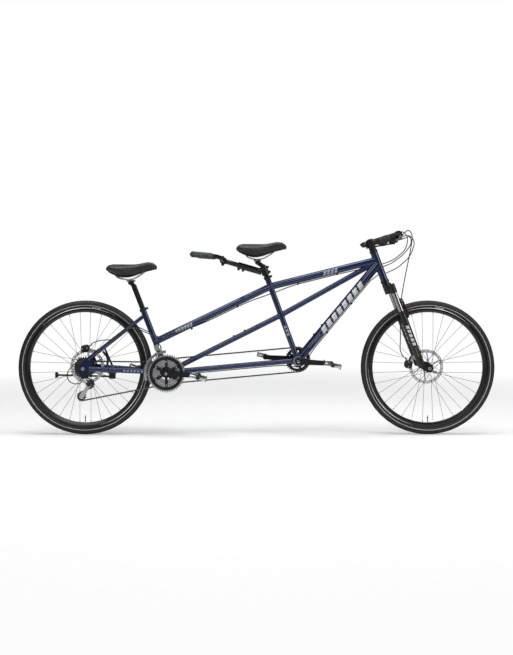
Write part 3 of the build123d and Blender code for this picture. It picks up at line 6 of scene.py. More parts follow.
import bpy
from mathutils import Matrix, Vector


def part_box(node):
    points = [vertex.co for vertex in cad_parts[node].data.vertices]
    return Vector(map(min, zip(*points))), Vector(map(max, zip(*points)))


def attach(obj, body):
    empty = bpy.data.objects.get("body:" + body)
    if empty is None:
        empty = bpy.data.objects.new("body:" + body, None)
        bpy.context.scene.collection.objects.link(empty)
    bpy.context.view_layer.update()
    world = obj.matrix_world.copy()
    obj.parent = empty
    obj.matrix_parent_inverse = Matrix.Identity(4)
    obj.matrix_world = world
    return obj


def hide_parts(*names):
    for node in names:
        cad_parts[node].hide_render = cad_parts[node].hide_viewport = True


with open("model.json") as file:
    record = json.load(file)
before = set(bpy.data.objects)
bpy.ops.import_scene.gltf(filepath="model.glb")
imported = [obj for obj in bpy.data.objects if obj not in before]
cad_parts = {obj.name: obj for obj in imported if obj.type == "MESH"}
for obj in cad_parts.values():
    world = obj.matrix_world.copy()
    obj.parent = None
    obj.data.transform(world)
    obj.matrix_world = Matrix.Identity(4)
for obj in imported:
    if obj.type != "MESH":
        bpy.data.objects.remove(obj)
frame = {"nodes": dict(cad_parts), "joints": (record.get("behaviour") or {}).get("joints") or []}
NODES = frame["nodes"]
JOINTS = {j["name"]: j for j in frame["joints"]}
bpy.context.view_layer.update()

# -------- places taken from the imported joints
REAR_AXLE = Vector(JOINTS["rear_wheel_spin"]["pos_m"])
FRONT_AXLE = Vector(JOINTS["front_wheel_spin"]["pos_m"])
STOKER_BB = Vector(JOINTS["stoker_crank_spin"]["pos_m"])
CAPTAIN_BB = Vector(JOINTS["captain_crank_spin"]["pos_m"])
HEAD_BOTTOM = Vector(JOINTS["steer"]["pos_m"])
STEER_UP = Vector(JOINTS["steer"]["axis"])
STEER_FORWARD = Vector((STEER_UP.z, 0, -STEER_UP.x))
CAPTAIN_SEAT_UP = Vector(JOINTS["captain_post_height"]["axis"])
STOKER_SEAT_UP = Vector(JOINTS["stoker_post_height"]["axis"])
GUIDE = Vector(JOINTS["guide_pulley_spin"]["pos_m"])
TENSION = Vector(JOINTS["tension_pulley_spin"]["pos_m"])
CHAIN_PITCH = 0.0127
UP = Vector((0, 0, 1))
Y_AXIS = Vector((0, 1, 0))


def steer(along, forward=0.0, y=0.0):
    """A point along the steering axis, ahead of it and to the left of it."""
    return HEAD_BOTTOM + STEER_UP * along + STEER_FORWARD * forward + Vector((0, y, 0))


def on_line(root, direction, z):
    return root + direction * ((z - root.z) / direction.z)


# -------- materials
NOISE_DETAIL = 3.0
GRAIN_DEPTH = 0.0003
COAT_ROUGHNESS = 0.08


def node_material(name):
    mat = bpy.data.materials.new(name)
    mat.use_nodes = True
    tree = mat.node_tree
    return mat, tree, tree.nodes["Principled BSDF"]


def place_texture(tree, scale, stretch=(1, 1, 1)):
    """Noise in the object's own metres, stretched for brushed or cast looks."""
    coords = tree.nodes.new("ShaderNodeTexCoord")
    mapping = tree.nodes.new("ShaderNodeMapping")
    mapping.inputs["Scale"].default_value = stretch
    noise = tree.nodes.new("ShaderNodeTexNoise")
    noise.inputs["Scale"].default_value = scale
    noise.inputs["Detail"].default_value = NOISE_DETAIL
    tree.links.new(coords.outputs["Object"], mapping.inputs["Vector"])
    tree.links.new(mapping.outputs["Vector"], noise.inputs["Vector"])
    return noise


def object_texture(tree, kind, scale):
    """A texture laid out in the object's own metres."""
    coords = tree.nodes.new("ShaderNodeTexCoord")
    node = tree.nodes.new(kind)
    node.inputs["Scale"].default_value = scale
    tree.links.new(coords.outputs["Object"], node.inputs["Vector"])
    return node


def ramp(tree, source, low, high, start=0.35, end=0.65):
    node = tree.nodes.new("ShaderNodeValToRGB")
    node.color_ramp.elements[0].position = start
    node.color_ramp.elements[1].position = end
    node.color_ramp.elements[0].color = (*low, 1)
    node.color_ramp.elements[1].color = (*high, 1)
    tree.links.new(source, node.inputs["Fac"])
    return node


def tint(tree, shader, source, low, high):
    """Base colour that drifts between two tones."""
    tree.links.new(ramp(tree, source, low, high).outputs["Color"], shader.inputs["Base Color"])


def add_bump(tree, shader, source, strength, distance):
    bump = tree.nodes.new("ShaderNodeBump")
    bump.inputs["Strength"].default_value = strength
    bump.inputs["Distance"].default_value = distance
    tree.links.new(source, bump.inputs["Height"])
    tree.links.new(bump.outputs["Normal"], shader.inputs["Normal"])


def vary_roughness(tree, shader, source, low, high):
    spread = tree.nodes.new("ShaderNodeMapRange")
    spread.inputs["From Min"].default_value = 0.3
    spread.inputs["From Max"].default_value = 0.7
    spread.inputs["To Min"].default_value = low
    spread.inputs["To Max"].default_value = high
    tree.links.new(source, spread.inputs["Value"])
    tree.links.new(spread.outputs["Result"], shader.inputs["Roughness"])


def surface(name, dark, light, rough, metallic, grain, stretch=(1, 1, 1), bump=0.15, coat=0.0):
    """A material with its own colour drift, uneven gloss and fine relief."""
    mat, tree, shader = node_material(name)
    shader.inputs["Metallic"].default_value = metallic
    shader.inputs["Coat Weight"].default_value = coat
    shader.inputs["Coat Roughness"].default_value = COAT_ROUGHNESS
    broad = place_texture(tree, 14.0)
    fine = place_texture(tree, grain, stretch)
    mix = tree.nodes.new("ShaderNodeMath")
    mix.operation = "MULTIPLY_ADD"
    mix.inputs[1].default_value = 0.5
    tree.links.new(fine.outputs["Fac"], mix.inputs[0])
    half = tree.nodes.new("ShaderNodeMath")
    half.operation = "MULTIPLY"
    half.inputs[1].default_value = 0.5
    tree.links.new(broad.outputs["Fac"], half.inputs[0])
    tree.links.new(half.outputs["Value"], mix.inputs[2])
    tint(tree, shader, mix.outputs["Value"], dark, light)
    vary_roughness(tree, shader, broad.outputs["Fac"], rough * 0.85, rough * 1.2)
    add_bump(tree, shader, fine.outputs["Fac"], bump, GRAIN_DEPTH)
    return mat


def metallic_paint(name):
    """Deep blue pearl under a clear coat, with fine flake; the base colour carries painted shade, darker
    where the surface turns away from the view.
    """
    mat, tree, shader = node_material(name)
    shader.inputs["Metallic"].default_value = 0.55
    shader.inputs["Coat Weight"].default_value = 1.0
    shader.inputs["Coat Roughness"].default_value = 0.04
    flake = object_texture(tree, "ShaderNodeTexVoronoi", 2600.0)
    spark = ramp(tree, flake.outputs["Distance"], (0.008, 0.034, 0.150), (0.003, 0.014, 0.070), 0.1, 0.7)
    # Painted shade: Layer Weight's Facing mixes a darker blue into the base colour toward the grazing edges
    # of every tube.
    facing = tree.nodes.new("ShaderNodeLayerWeight")
    facing.inputs["Blend"].default_value = 0.45
    grazing_painted_shade = tree.nodes.new("ShaderNodeMixRGB")
    grazing_painted_shade.inputs["Color2"].default_value = (0.002, 0.006, 0.030, 1)
    tree.links.new(facing.outputs["Facing"], grazing_painted_shade.inputs["Fac"])
    tree.links.new(spark.outputs["Color"], grazing_painted_shade.inputs["Color1"])
    tree.links.new(grazing_painted_shade.outputs["Color"], shader.inputs["Base Color"])
    broad = place_texture(tree, 9.0)
    vary_roughness(tree, shader, broad.outputs["Fac"], 0.28, 0.38)
    add_bump(tree, shader, flake.outputs["Distance"], 0.03, 0.0001)
    return mat


def leather(name, dark, light, rough):
    """Fine pebbled cover with soft sheen."""
    mat, tree, shader = node_material(name)
    cells = object_texture(tree, "ShaderNodeTexVoronoi", 950.0)
    broad = place_texture(tree, 22.0)
    tint(tree, shader, broad.outputs["Fac"], dark, light)
    shader.inputs["Sheen Weight"].default_value = 0.15
    vary_roughness(tree, shader, broad.outputs["Fac"], rough, rough + 0.15)
    add_bump(tree, shader, cells.outputs["Distance"], 0.35, 0.0004)
    return mat


def ribbed_rubber(name, dark, light, spacing):
    """Moulded rubber with fine raised rows."""
    mat, tree, shader = node_material(name)
    rows = object_texture(tree, "ShaderNodeTexWave", spacing)
    rows.inputs["Distortion"].default_value = 0.4
    rows.bands_direction = "DIAGONAL"
    broad = place_texture(tree, 60.0)
    tint(tree, shader, broad.outputs["Fac"], dark, light)
    vary_roughness(tree, shader, broad.outputs["Fac"], 0.6, 0.8)
    add_bump(tree, shader, rows.outputs["Fac"], 0.5, 0.0005)
    return mat


PAINT = metallic_paint("blue_pearl_paint")
WELD = surface("painted_weld", (0.006, 0.02, 0.08), (0.012, 0.035, 0.12), 0.35, 0.5, 900, coat=0.8)
BLACK = surface("black_enamel", (0.010, 0.010, 0.011), (0.024, 0.024, 0.026), 0.32, 0.3, 1200, coat=0.3)
ANODISED = surface("black_anodised", (0.014, 0.014, 0.015), (0.030, 0.030, 0.032), 0.38, 0.6, 900,
                   stretch=(1, 12, 1), bump=0.1)
PLASTIC = surface("black_moulding", (0.014, 0.014, 0.015), (0.030, 0.030, 0.032), 0.5, 0.0, 2200, bump=0.3)
HOUSING = surface("cable_housing", (0.010, 0.010, 0.011), (0.018, 0.018, 0.019), 0.3, 0.0, 800, coat=0.4)
ALLOY = surface("polished_alloy", (0.52, 0.53, 0.54), (0.78, 0.79, 0.80), 0.24, 1.0, 500, stretch=(1, 18, 1))
STEEL = surface("bright_steel", (0.42, 0.42, 0.43), (0.66, 0.66, 0.67), 0.26, 1.0, 700, stretch=(9, 1, 9))
CHROME = surface("stanchion_chrome", (0.34, 0.35, 0.36), (0.46, 0.47, 0.48), 0.12, 1.0, 300, bump=0.03)
ROTOR = surface("ground_rotor", (0.72, 0.72, 0.72), (0.90, 0.90, 0.90), 0.42, 0.7, 700, stretch=(9, 1, 9))
CHAIN = surface("oiled_chain", (0.05, 0.047, 0.044), (0.20, 0.19, 0.18), 0.36, 1.0, 1500, bump=0.25)
SPOKE = surface("spoke_steel", (0.020, 0.020, 0.021), (0.060, 0.060, 0.062), 0.35, 0.6, 900, bump=0.05)
COG = surface("dark_cogs", (0.06, 0.058, 0.055), (0.20, 0.195, 0.19), 0.34, 1.0, 900, bump=0.2)
TYRE = surface("tyre_rubber", (0.011, 0.011, 0.011), (0.024, 0.024, 0.024), 0.62, 0.0, 1400, bump=0.5)
STRIPE = surface("sidewall_line", (0.50, 0.50, 0.49), (0.68, 0.68, 0.66), 0.45, 0.0, 900, bump=0.2)
RIM = surface("rim_black", (0.010, 0.010, 0.011), (0.022, 0.022, 0.023), 0.3, 0.35, 900, coat=0.5)
SADDLE = leather("saddle_cover", (0.012, 0.012, 0.013), (0.026, 0.026, 0.028), 0.42)
SADDLE_SIDE = leather("saddle_flank", (0.018, 0.018, 0.019), (0.034, 0.034, 0.036), 0.34)
GRIP = ribbed_rubber("grip_black", (0.014, 0.014, 0.015), (0.030, 0.030, 0.032), 95.0)
GREY_GRIP = ribbed_rubber("grip_grey", (0.045, 0.050, 0.052), (0.095, 0.102, 0.105), 95.0)
WHITE_MARK = surface("pale_marking", (0.70, 0.72, 0.74), (0.84, 0.86, 0.88), 0.3, 0.0, 700,
                     bump=0.05, coat=0.6)
SILVER_MARK = surface("silver_marking", (0.36, 0.40, 0.46), (0.50, 0.54, 0.60), 0.28, 0.4, 700,
                      bump=0.05, coat=0.6)
GOLD_MARK = surface("gold_marking", (0.50, 0.34, 0.10), (0.66, 0.46, 0.16), 0.3, 0.6, 700, bump=0.05)
RED_MARK = surface("red_marking", (0.34, 0.02, 0.02), (0.46, 0.04, 0.03), 0.5, 0.0, 900, bump=0.1)
FLOOR = surface("studio_floor", (0.82, 0.82, 0.82), (0.86, 0.86, 0.86), 0.8, 0.0, 60, bump=0.02)
FLOOR_GLOW = 0.32
FLOOR_FADE = (1.6, 3.4)


def finish_floor(mat):
    """A pale glow that lights nothing else, and an edge that fades away in the distance."""
    tree = mat.node_tree
    shader = tree.nodes["Principled BSDF"]
    shader.inputs["Emission Color"].default_value = (1, 1, 1, 1)
    rays = tree.nodes.new("ShaderNodeLightPath")
    glow = tree.nodes.new("ShaderNodeMath")
    glow.operation = "MULTIPLY"
    glow.inputs[1].default_value = FLOOR_GLOW
    tree.links.new(rays.outputs["Is Camera Ray"], glow.inputs[0])
    tree.links.new(glow.outputs["Value"], shader.inputs["Emission Strength"])
    coords = tree.nodes.new("ShaderNodeTexCoord")
    reach = tree.nodes.new("ShaderNodeVectorMath")
    reach.operation = "LENGTH"
    tree.links.new(coords.outputs["Object"], reach.inputs[0])
    fade = tree.nodes.new("ShaderNodeMapRange")
    fade.inputs["From Min"].default_value, fade.inputs["From Max"].default_value = FLOOR_FADE
    tree.links.new(reach.outputs["Value"], fade.inputs["Value"])
    clear = tree.nodes.new("ShaderNodeBsdfTransparent")
    mix = tree.nodes.new("ShaderNodeMixShader")
    tree.links.new(fade.outputs["Result"], mix.inputs["Fac"])
    tree.links.new(shader.outputs["BSDF"], mix.inputs[1])
    tree.links.new(clear.outputs["BSDF"], mix.inputs[2])
    tree.links.new(mix.outputs["Shader"], tree.nodes["Material Output"].inputs["Surface"])


finish_floor(FLOOR)


# -------- mesh helpers
PIECE_CREASE = radians(38)
NODE_CREASE = radians(32)


def mesh_object(name, verts, faces, materials, smooth=True):
    data = bpy.data.meshes.new(name)
    data.from_pydata([tuple(v) for v in verts], [], faces)
    data.validate()
    data.update()
    for mat in materials:
        data.materials.append(mat)
    if smooth:
        data.shade_smooth()
        data.set_sharp_from_angle(angle=PIECE_CREASE)
    obj = bpy.data.objects.new(name, data)
    bpy.context.scene.collection.objects.link(obj)
    return obj


def piece(name, build, mat, body):
    """One finished mesh that rides on a body and takes its finish from a slot."""
    mats = mat if isinstance(mat, list) else [mat]
    obj = mesh_object(name, build.verts, build.faces, mats)
    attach(obj, body)
    return obj


class Build:
    """Collects many small shapes into one mesh."""

    def __init__(self):
        self.verts = []
        self.faces = []

    def add(self, verts, faces):
        base = len(self.verts)
        self.verts.extend(verts)
        self.faces.extend([tuple(base + i for i in face) for face in faces])

    def rings(self, rings, close_ends=True, wrap=False):
        """Skins a list of equal rings of points."""
        count, size = len(rings), len(rings[0])
        verts = [p for ring in rings for p in ring]
        faces = []
        last = count if wrap else count - 1
        for i in range(last):
            j = (i + 1) % count
            for k in range(size):
                n = (k + 1) % size
                faces.append((i * size + k, j * size + k, j * size + n, i * size + n))
        if close_ends and not wrap:
            faces.append(tuple(range(size)))
            faces.append(tuple((count - 1) * size + k for k in reversed(range(size))))
        self.add(verts, faces)

    def turned(self, centre, axis, profile, segments):
        """A lathe shape: profile of (distance along the axis, radius) pairs."""
        side, other = frame_of(axis)
        self.rings([circle(centre + axis * along, side, other, radius, segments)
                    for along, radius in profile])

    def socket_bolt(self, centre, axis, radius, height):
        """Button head with a hexagonal recess."""
        side, other = frame_of(axis)
        segments = 24
        rings = []
        for along, share in ((0, 1.0), (height * 0.7, 1.0), (height, 0.82)):
            rings.append(circle(centre + axis * along, side, other, radius * share, segments))
        for along in (height, height * 0.35):
            ring = []
            for angle in full_turn(segments):
                flat = cos(pi / 6) / cos((angle % (pi / 3)) - pi / 6)
                out = side * cos(angle) + other * sin(angle)
                ring.append(centre + axis * along + out * radius * 0.5 * flat)
            rings.append(ring)
        self.rings(rings)


def full_turn(count):
    """Evenly spaced angles all the way round."""
    return [2 * pi * k / count for k in range(count)]


def circle(centre, side, other, radius, count):
    """Points round a centre in the plane of two directions."""
    return [centre + (side * cos(a) + other * sin(a)) * radius for a in full_turn(count)]


def frame_of(axis):
    """Two directions across an axis, square to each other."""
    axis = axis.normalized()
    helper = UP if abs(axis.z) < 0.9 else Vector((1, 0, 0))
    side = axis.cross(helper).normalized()
    return side, axis.cross(side).normalized()


def spline_path(points, samples):
    """Smooth points through a route, read off a NURBS curve."""
    curve = bpy.data.curves.new("route", "CURVE")
    curve.dimensions = "3D"
    spline = curve.splines.new("NURBS")
    spline.points.add(len(points) - 1)
    for target, point in zip(spline.points, points):
        target.co = (*point, 1)
    spline.order_u = 3
    spline.use_endpoint_u = True
    spline.resolution_u = samples
    obj = bpy.data.objects.new("route", curve)
    data = bpy.data.meshes.new_from_object(obj)
    path = [v.co.copy() for v in data.vertices]
    bpy.data.objects.remove(obj)
    bpy.data.curves.remove(curve)
    bpy.data.meshes.remove(data)
    return path


def tube_rings(path, radii, segments):
    """Rings of points along a path, without twist."""
    side = None
    rings = []
    for i, point in enumerate(path):
        ahead = (path[min(i + 1, len(path) - 1)] - path[max(i - 1, 0)]).normalized()
        if side is None:
            side = frame_of(ahead)[0]
        side = (side - ahead * side.dot(ahead)).normalized()
        other = ahead.cross(side)
        radius = radii[i] if isinstance(radii, list) else radii
        rings.append(circle(point, side, other, radius, segments))
    return rings


# -------- wheels
TYRE_CENTRE_RADIUS = 0.329
TYRE_HALF_WIDTH = 0.020
TREAD_HEIGHT = 0.021
WALL_DEPTH = 0.020
CASING_INSIDE = 0.0165
GROOVE_DEPTH = 0.0013
CENTRE_GROOVE_DEG = (9, 12)
SHOULDER_DEG = (15, 60)
PALE_LINE_DEG = (97, 106)
RIM_INNER = 0.289
TREAD_BLOCKS = 96
STEPS_PER_BLOCK = 4
VALVE_REACH = 0.0375
VALVE_PROFILE = [(0, 0.0012), (0.0006, 0.0022), (0.007, 0.0022), (0.0075, 0.003), (0.0155, 0.003),
                 (0.016, 0.0024), (0.031, 0.0024), (0.0315, 0.0042), (0.034, 0.0042)]


def tyre_profile():
    """Angles round the tyre's own section; the pale line lies between two of them."""
    half = [0, 6, *CENTRE_GROOVE_DEG, 15, 22, 30, 38, 46, 54, 64, 76, 88, *PALE_LINE_DEG, 116, 128, 140, 150]
    return [-a for a in reversed(half[1:])] + half


def tyre_piece(name, axle, body, node):
    """Tyre with a centre rib, cut shoulder blocks, the reflective sidewall line and the valve."""
    angles = tyre_profile()
    segments = TREAD_BLOCKS * STEPS_PER_BLOCK
    build = Build()
    rings = []
    for s in range(segments):
        turn = 2 * pi * s / segments
        out = Vector((cos(turn), 0, sin(turn)))
        ring = []
        for a in angles:
            reach = abs(a)
            height = TREAD_HEIGHT if reach < 90 else WALL_DEPTH
            phase = (s + int(reach / 16)) % STEPS_PER_BLOCK
            shoulder_cut = SHOULDER_DEG[0] < reach < SHOULDER_DEG[1] and phase == 0
            depth = GROOVE_DEPTH if reach in CENTRE_GROOVE_DEG or shoulder_cut else 0.0
            radius = TYRE_CENTRE_RADIUS + (height - depth) * cos(radians(a))
            ring.append(axle + out * radius + Y_AXIS * ((TYRE_HALF_WIDTH - depth) * sin(radians(a))))
        for a in (140, 60, 0, -60, -140):
            radius = TYRE_CENTRE_RADIUS + CASING_INSIDE * cos(radians(a))
            ring.append(axle + out * radius + Y_AXIS * (CASING_INSIDE * sin(radians(a))))
        rings.append(ring)
    build.rings(rings, wrap=True)
    valve_top = axle + UP * (VALVE_REACH - RIM_INNER)
    build.turned(valve_top, -UP, VALVE_PROFILE, 14)
    obj = piece(name, build, [TYRE, STRIPE, BLACK], body)
    ring_size = len(rings[0])
    steps = range(len(angles) - 1)
    stripe = {k for k in steps if {abs(angles[k]), abs(angles[k + 1])} == set(PALE_LINE_DEG)}
    for face in obj.data.polygons:
        if face.index < segments * ring_size:
            if face.index % ring_size in stripe:
                face.material_index = 1
        else:
            face.material_index = 2
    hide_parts(node)


# Section angle in degrees and lift off the sidewall, round the printed patch.
MARK_SECTION = ((118, 0.0), (119, 0.0005), (127, 0.0006), (135, 0.0005), (136, 0.0), (127, -0.001))
MARK_STEPS = 12


def sidewall_mark(name, axle, body, middle, spread, mat):
    """A short printed arc low on both sidewalls."""
    build = Build()
    for side in (-1, 1):
        rings = []
        for i in range(MARK_STEPS + 1):
            turn = radians(middle + spread * (i / MARK_STEPS - 0.5))
            out = Vector((cos(turn), 0, sin(turn)))
            ring = []
            for a, lift in MARK_SECTION:
                radius = TYRE_CENTRE_RADIUS + (WALL_DEPTH + lift) * cos(radians(a))
                sideways = side * (TYRE_HALF_WIDTH + lift) * sin(radians(a))
                ring.append(axle + out * radius + Y_AXIS * sideways)
            rings.append(ring)
        build.rings(rings)
    piece(name, build, mat, body)


SPOKES_A_SIDE = 16
SPOKE_CROSS = 3
FLANGE_OFFSET = 0.0026
RIM_OFFSET = 0.003
NIPPLE_REACH = 0.011
NIPPLE_PROFILE = [(0, 0.0013), (0.001, 0.0019), (0.008, 0.0019), (0.009, 0.0023), (0.0112, 0.0023)]
SPOKE_HEAD_INSET = 0.0018
SPOKE_HEAD_PROFILE = [(0, 0.0014), (0.0028, 0.0019), (0.0038, 0.0014)]


def spoke_lines(axle, left_y, right_y, flange_radius):
    """Both ends of every spoke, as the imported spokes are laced."""
    step = 360.0 / SPOKES_A_SIDE
    lines = []
    for side, flange_y in ((1, left_y), (-1, right_y)):
        for k in range(SPOKES_A_SIDE):
            lead = 1 if k % 2 == 0 else -1
            hub_angle = radians(k * step + (step / 2 if side < 0 else 0) + step / 4)
            rim_angle = hub_angle + radians(lead * SPOKE_CROSS * step)
            start = axle + Vector((flange_radius * cos(hub_angle), flange_y + side * lead * FLANGE_OFFSET,
                                   flange_radius * sin(hub_angle)))
            end = axle + Vector((RIM_INNER * cos(rim_angle), side * RIM_OFFSET, RIM_INNER * sin(rim_angle)))
            lines.append((start, end))
    return lines


def wheel_hardware(prefix, axle, left_y, right_y, flange_radius, body):
    """Spoke nipples at the rim and the bent spoke heads at the flanges."""
    build = Build()
    for start, end in spoke_lines(axle, left_y, right_y, flange_radius):
        along = (end - start).normalized()
        build.turned(end - along * NIPPLE_REACH, along, NIPPLE_PROFILE, 8)
        outward = 1 if start.y > 0 else -1
        build.turned(start - Y_AXIS * SPOKE_HEAD_INSET * outward, Y_AXIS * outward, SPOKE_HEAD_PROFILE, 8)
    piece(f"{prefix}_nipples", build, ALLOY, body)


def bolt_circle(build, centre, radius, axis, bolt_radius, bolt_height):
    """Six socket bolts evenly round a centre."""
    for i in range(6):
        angle = radians(60 * i + 30)
        place = centre + Vector((radius * cos(angle), 0, radius * sin(angle)))
        build.socket_bolt(place, axis, bolt_radius, bolt_height)


def rotor_bolts(prefix, axle, y, body):
    build = Build()
    bolt_circle(build, axle + Y_AXIS * y, 0.0215, Y_AXIS, 0.0036, 0.0026)
    piece(f"{prefix}_rotor_bolts", build, STEEL, body)


for place, axle, flange_left, flange_right, flange_radius, rotor_face in (
        ("rear", REAR_AXLE, 0.0335, -0.0225, 0.025, 0.0532),
        ("front", FRONT_AXLE, 0.0255, -0.0325, 0.022, 0.0410)):
    wheel = f"{place}_wheel"
    tyre_piece(f"{place}_tyre_treaded", axle, wheel, f"{place}_tyre")
    wheel_hardware(place, axle, flange_left, flange_right, flange_radius, wheel)
    rotor_bolts(place, axle, rotor_face, wheel)
    sidewall_mark(f"{place}_tyre_red_mark", axle, wheel, 107, 4.5, RED_MARK)
    sidewall_mark(f"{place}_tyre_pale_mark", axle, wheel, 79, 8, SILVER_MARK)


# -------- chains
ARC_STEPS = 60
INNER_PLATE = (0.0016, 0.0024)
OUTER_PLATE = (0.0025, 0.0033)
LINK_END_RADIUS = 0.0041
LINK_WAIST = 0.0026
PIN_PROFILE = [(-0.0036, 0.0012), (-0.0032, 0.0018), (0.0032, 0.0018), (0.0036, 0.0012)]
ROLLER_PROFILE = [(-0.0015, 0.0037), (0.0015, 0.0037)]


def pitch_radius(teeth):
    return CHAIN_PITCH / (2 * sin(pi / teeth))


def loop_path(circles):
    """Points round a chain loop; a negative radius is passed on its other side."""
    count = len(circles)
    headings = []
    for i in range(count):
        x0, z0, r0 = circles[i]
        x1, z1, r1 = circles[(i + 1) % count]
        headings.append(atan2(z1 - z0, x1 - x0) - asin((r0 - r1) / hypot(x1 - x0, z1 - z0)))
    points = []
    for i, (x, z, radius) in enumerate(circles):
        turn = (headings[i] - headings[i - 1]) % (2 * pi)
        if radius > 0:
            turn -= 2 * pi
        for k in range(ARC_STEPS + 1):
            angle = headings[i - 1] + turn * k / ARC_STEPS + pi / 2
            points.append(Vector((x + radius * cos(angle), 0, z + radius * sin(angle))))
    return points


def evenly(points, pitch):
    """Points one pitch apart round a closed polyline."""
    total = sum((points[(i + 1) % len(points)] - points[i]).length for i in range(len(points)))
    count = 2 * round(total / pitch / 2)
    gap = total / count
    result, travelled, target = [], 0.0, 0.0
    for i in range(len(points)):
        a, b = points[i], points[(i + 1) % len(points)]
        length = (b - a).length
        while length > 0 and target <= travelled + length and len(result) < count:
            result.append(a.lerp(b, (target - travelled) / length))
            target += gap
        travelled += length
    return result


def link_outline(start, end, end_radius, waist):
    """Waisted plate outline round two pins."""
    along = (end - start).normalized()
    across = Vector((-along.z, 0, along.x))
    outline = []
    for centre, first in ((end, 1), (start, -1)):
        for k in range(9):
            angle = radians(-100 + 200 * k / 8)
            outline.append(centre + (along * cos(angle) + across * sin(angle)) * (end_radius * first))
        outline.append((start + end) / 2 + across * (waist * first))
    return outline


def chain_piece(name, circles, y, body, node):
    """Roller chain: waisted inner and outer plates, rollers and pins all the way round."""
    pins = evenly(loop_path(circles), CHAIN_PITCH)
    build = Build()
    for i, start in enumerate(pins):
        end = pins[(i + 1) % len(pins)]
        outline = link_outline(start, end, LINK_END_RADIUS, LINK_WAIST)
        for side in (-1, 1):
            plate = INNER_PLATE if i % 2 else OUTER_PLATE
            build.rings([[p + Y_AXIS * (y + side * depth) for p in outline] for depth in plate])
        build.turned(start + Y_AXIS * y, Y_AXIS, PIN_PROFILE, 10)
        build.turned(start + Y_AXIS * y, Y_AXIS, ROLLER_PROFILE, 14)
    obj = piece(name, build, CHAIN, body)
    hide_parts(node)


TIMING_TEETH = 32
DRIVE_COG_TEETH, DRIVE_RING_TEETH, PULLEY_TEETH = 18, 28, 11
TIMING_CHAIN_Y = 0.045
TIMING_CIRCLES = [(centre.x, centre.z, pitch_radius(TIMING_TEETH)) for centre in (STOKER_BB, CAPTAIN_BB)]
DRIVE_CIRCLES = [(REAR_AXLE.x, REAR_AXLE.z, pitch_radius(DRIVE_COG_TEETH)),
                 (STOKER_BB.x, STOKER_BB.z, pitch_radius(DRIVE_RING_TEETH)),
                 (TENSION.x, TENSION.z, pitch_radius(PULLEY_TEETH)),
                 (GUIDE.x, GUIDE.z, -pitch_radius(PULLEY_TEETH))]
chain_piece("timing_chain_links", TIMING_CIRCLES, TIMING_CHAIN_Y, "frame", "timing_chain")
chain_piece("drive_chain_links", DRIVE_CIRCLES, GUIDE.y, "frame", "drive_chain")


# -------- saddles
# Place along the saddle, height of the section's middle, half height and half width.
SADDLE_STATIONS = (
    (-0.1060, 0.9700, 0.0060, 0.038), (-0.1020, 0.9720, 0.0120, 0.054), (-0.0920, 0.9730, 0.0190, 0.068),
    (-0.0740, 0.9690, 0.0255, 0.078), (-0.0500, 0.9635, 0.0305, 0.080), (-0.0240, 0.9600, 0.0345, 0.075),
    (0.0040, 0.9598, 0.0340, 0.062), (0.0320, 0.9630, 0.0310, 0.047), (0.0600, 0.9695, 0.0265, 0.034),
    (0.0860, 0.9770, 0.0245, 0.027), (0.1100, 0.9835, 0.0240, 0.023), (0.1320, 0.9850, 0.0205, 0.020),
    (0.1480, 0.9815, 0.0150, 0.016), (0.1575, 0.9770, 0.0080, 0.010),
)
SADDLE_POINTS = 48
CHANNEL_DEPTH, CHANNEL_WIDTH = 0.10, 0.30
PAD_VOXEL = 0.004
PAD_PRESSURE = 4.0
PAD_STEPS = 12
PAD_SWELL = 0.0022
SEAM_RADIUS = 0.0011


def saddle_ring(station, shift):
    """Closed section: crowned top with a shallow centre channel, and flanks drawn in below."""
    x, z, half_height, half_width = station
    ring = []
    for angle in full_turn(SADDLE_POINTS):
        across, rise = cos(angle), sin(angle)
        side = 1 if across > 0 else -1
        y = half_width * (abs(across) ** 0.8) * side
        if rise >= 0:
            height = half_height * rise ** 0.75
            height -= half_height * CHANNEL_DEPTH * max(0.0, 1 - (y / (half_width * CHANNEL_WIDTH)) ** 2)
        else:
            height = -half_height * 0.97 * abs(rise) ** 0.75
            y *= 1 - 0.42 * abs(rise)
        ring.append(Vector((x, y, z + height)) + shift)
    return ring


def inflate(obj):
    """Cloth pressure swells the closed pad a little; no point moves further than the swell."""
    bpy.context.view_layer.objects.active = obj
    remesh = obj.modifiers.new("even", "REMESH")
    remesh.mode = "VOXEL"
    remesh.voxel_size = PAD_VOXEL
    bpy.ops.object.modifier_apply(modifier=remesh.name)
    before = [v.co.copy() for v in obj.data.vertices]
    cloth = obj.modifiers.new("pad", "CLOTH")
    cloth.settings.use_pressure = True
    cloth.settings.uniform_pressure_force = PAD_PRESSURE
    cloth.settings.effector_weights.gravity = 0.0
    scene = bpy.context.scene
    for step in range(1, PAD_STEPS + 1):
        scene.frame_set(step)
    bpy.ops.object.modifier_apply(modifier=cloth.name)
    scene.frame_set(1)
    for vertex, start in zip(obj.data.vertices, before):
        move = vertex.co - start
        if move.length > PAD_SWELL:
            vertex.co = start + move * (PAD_SWELL / move.length)


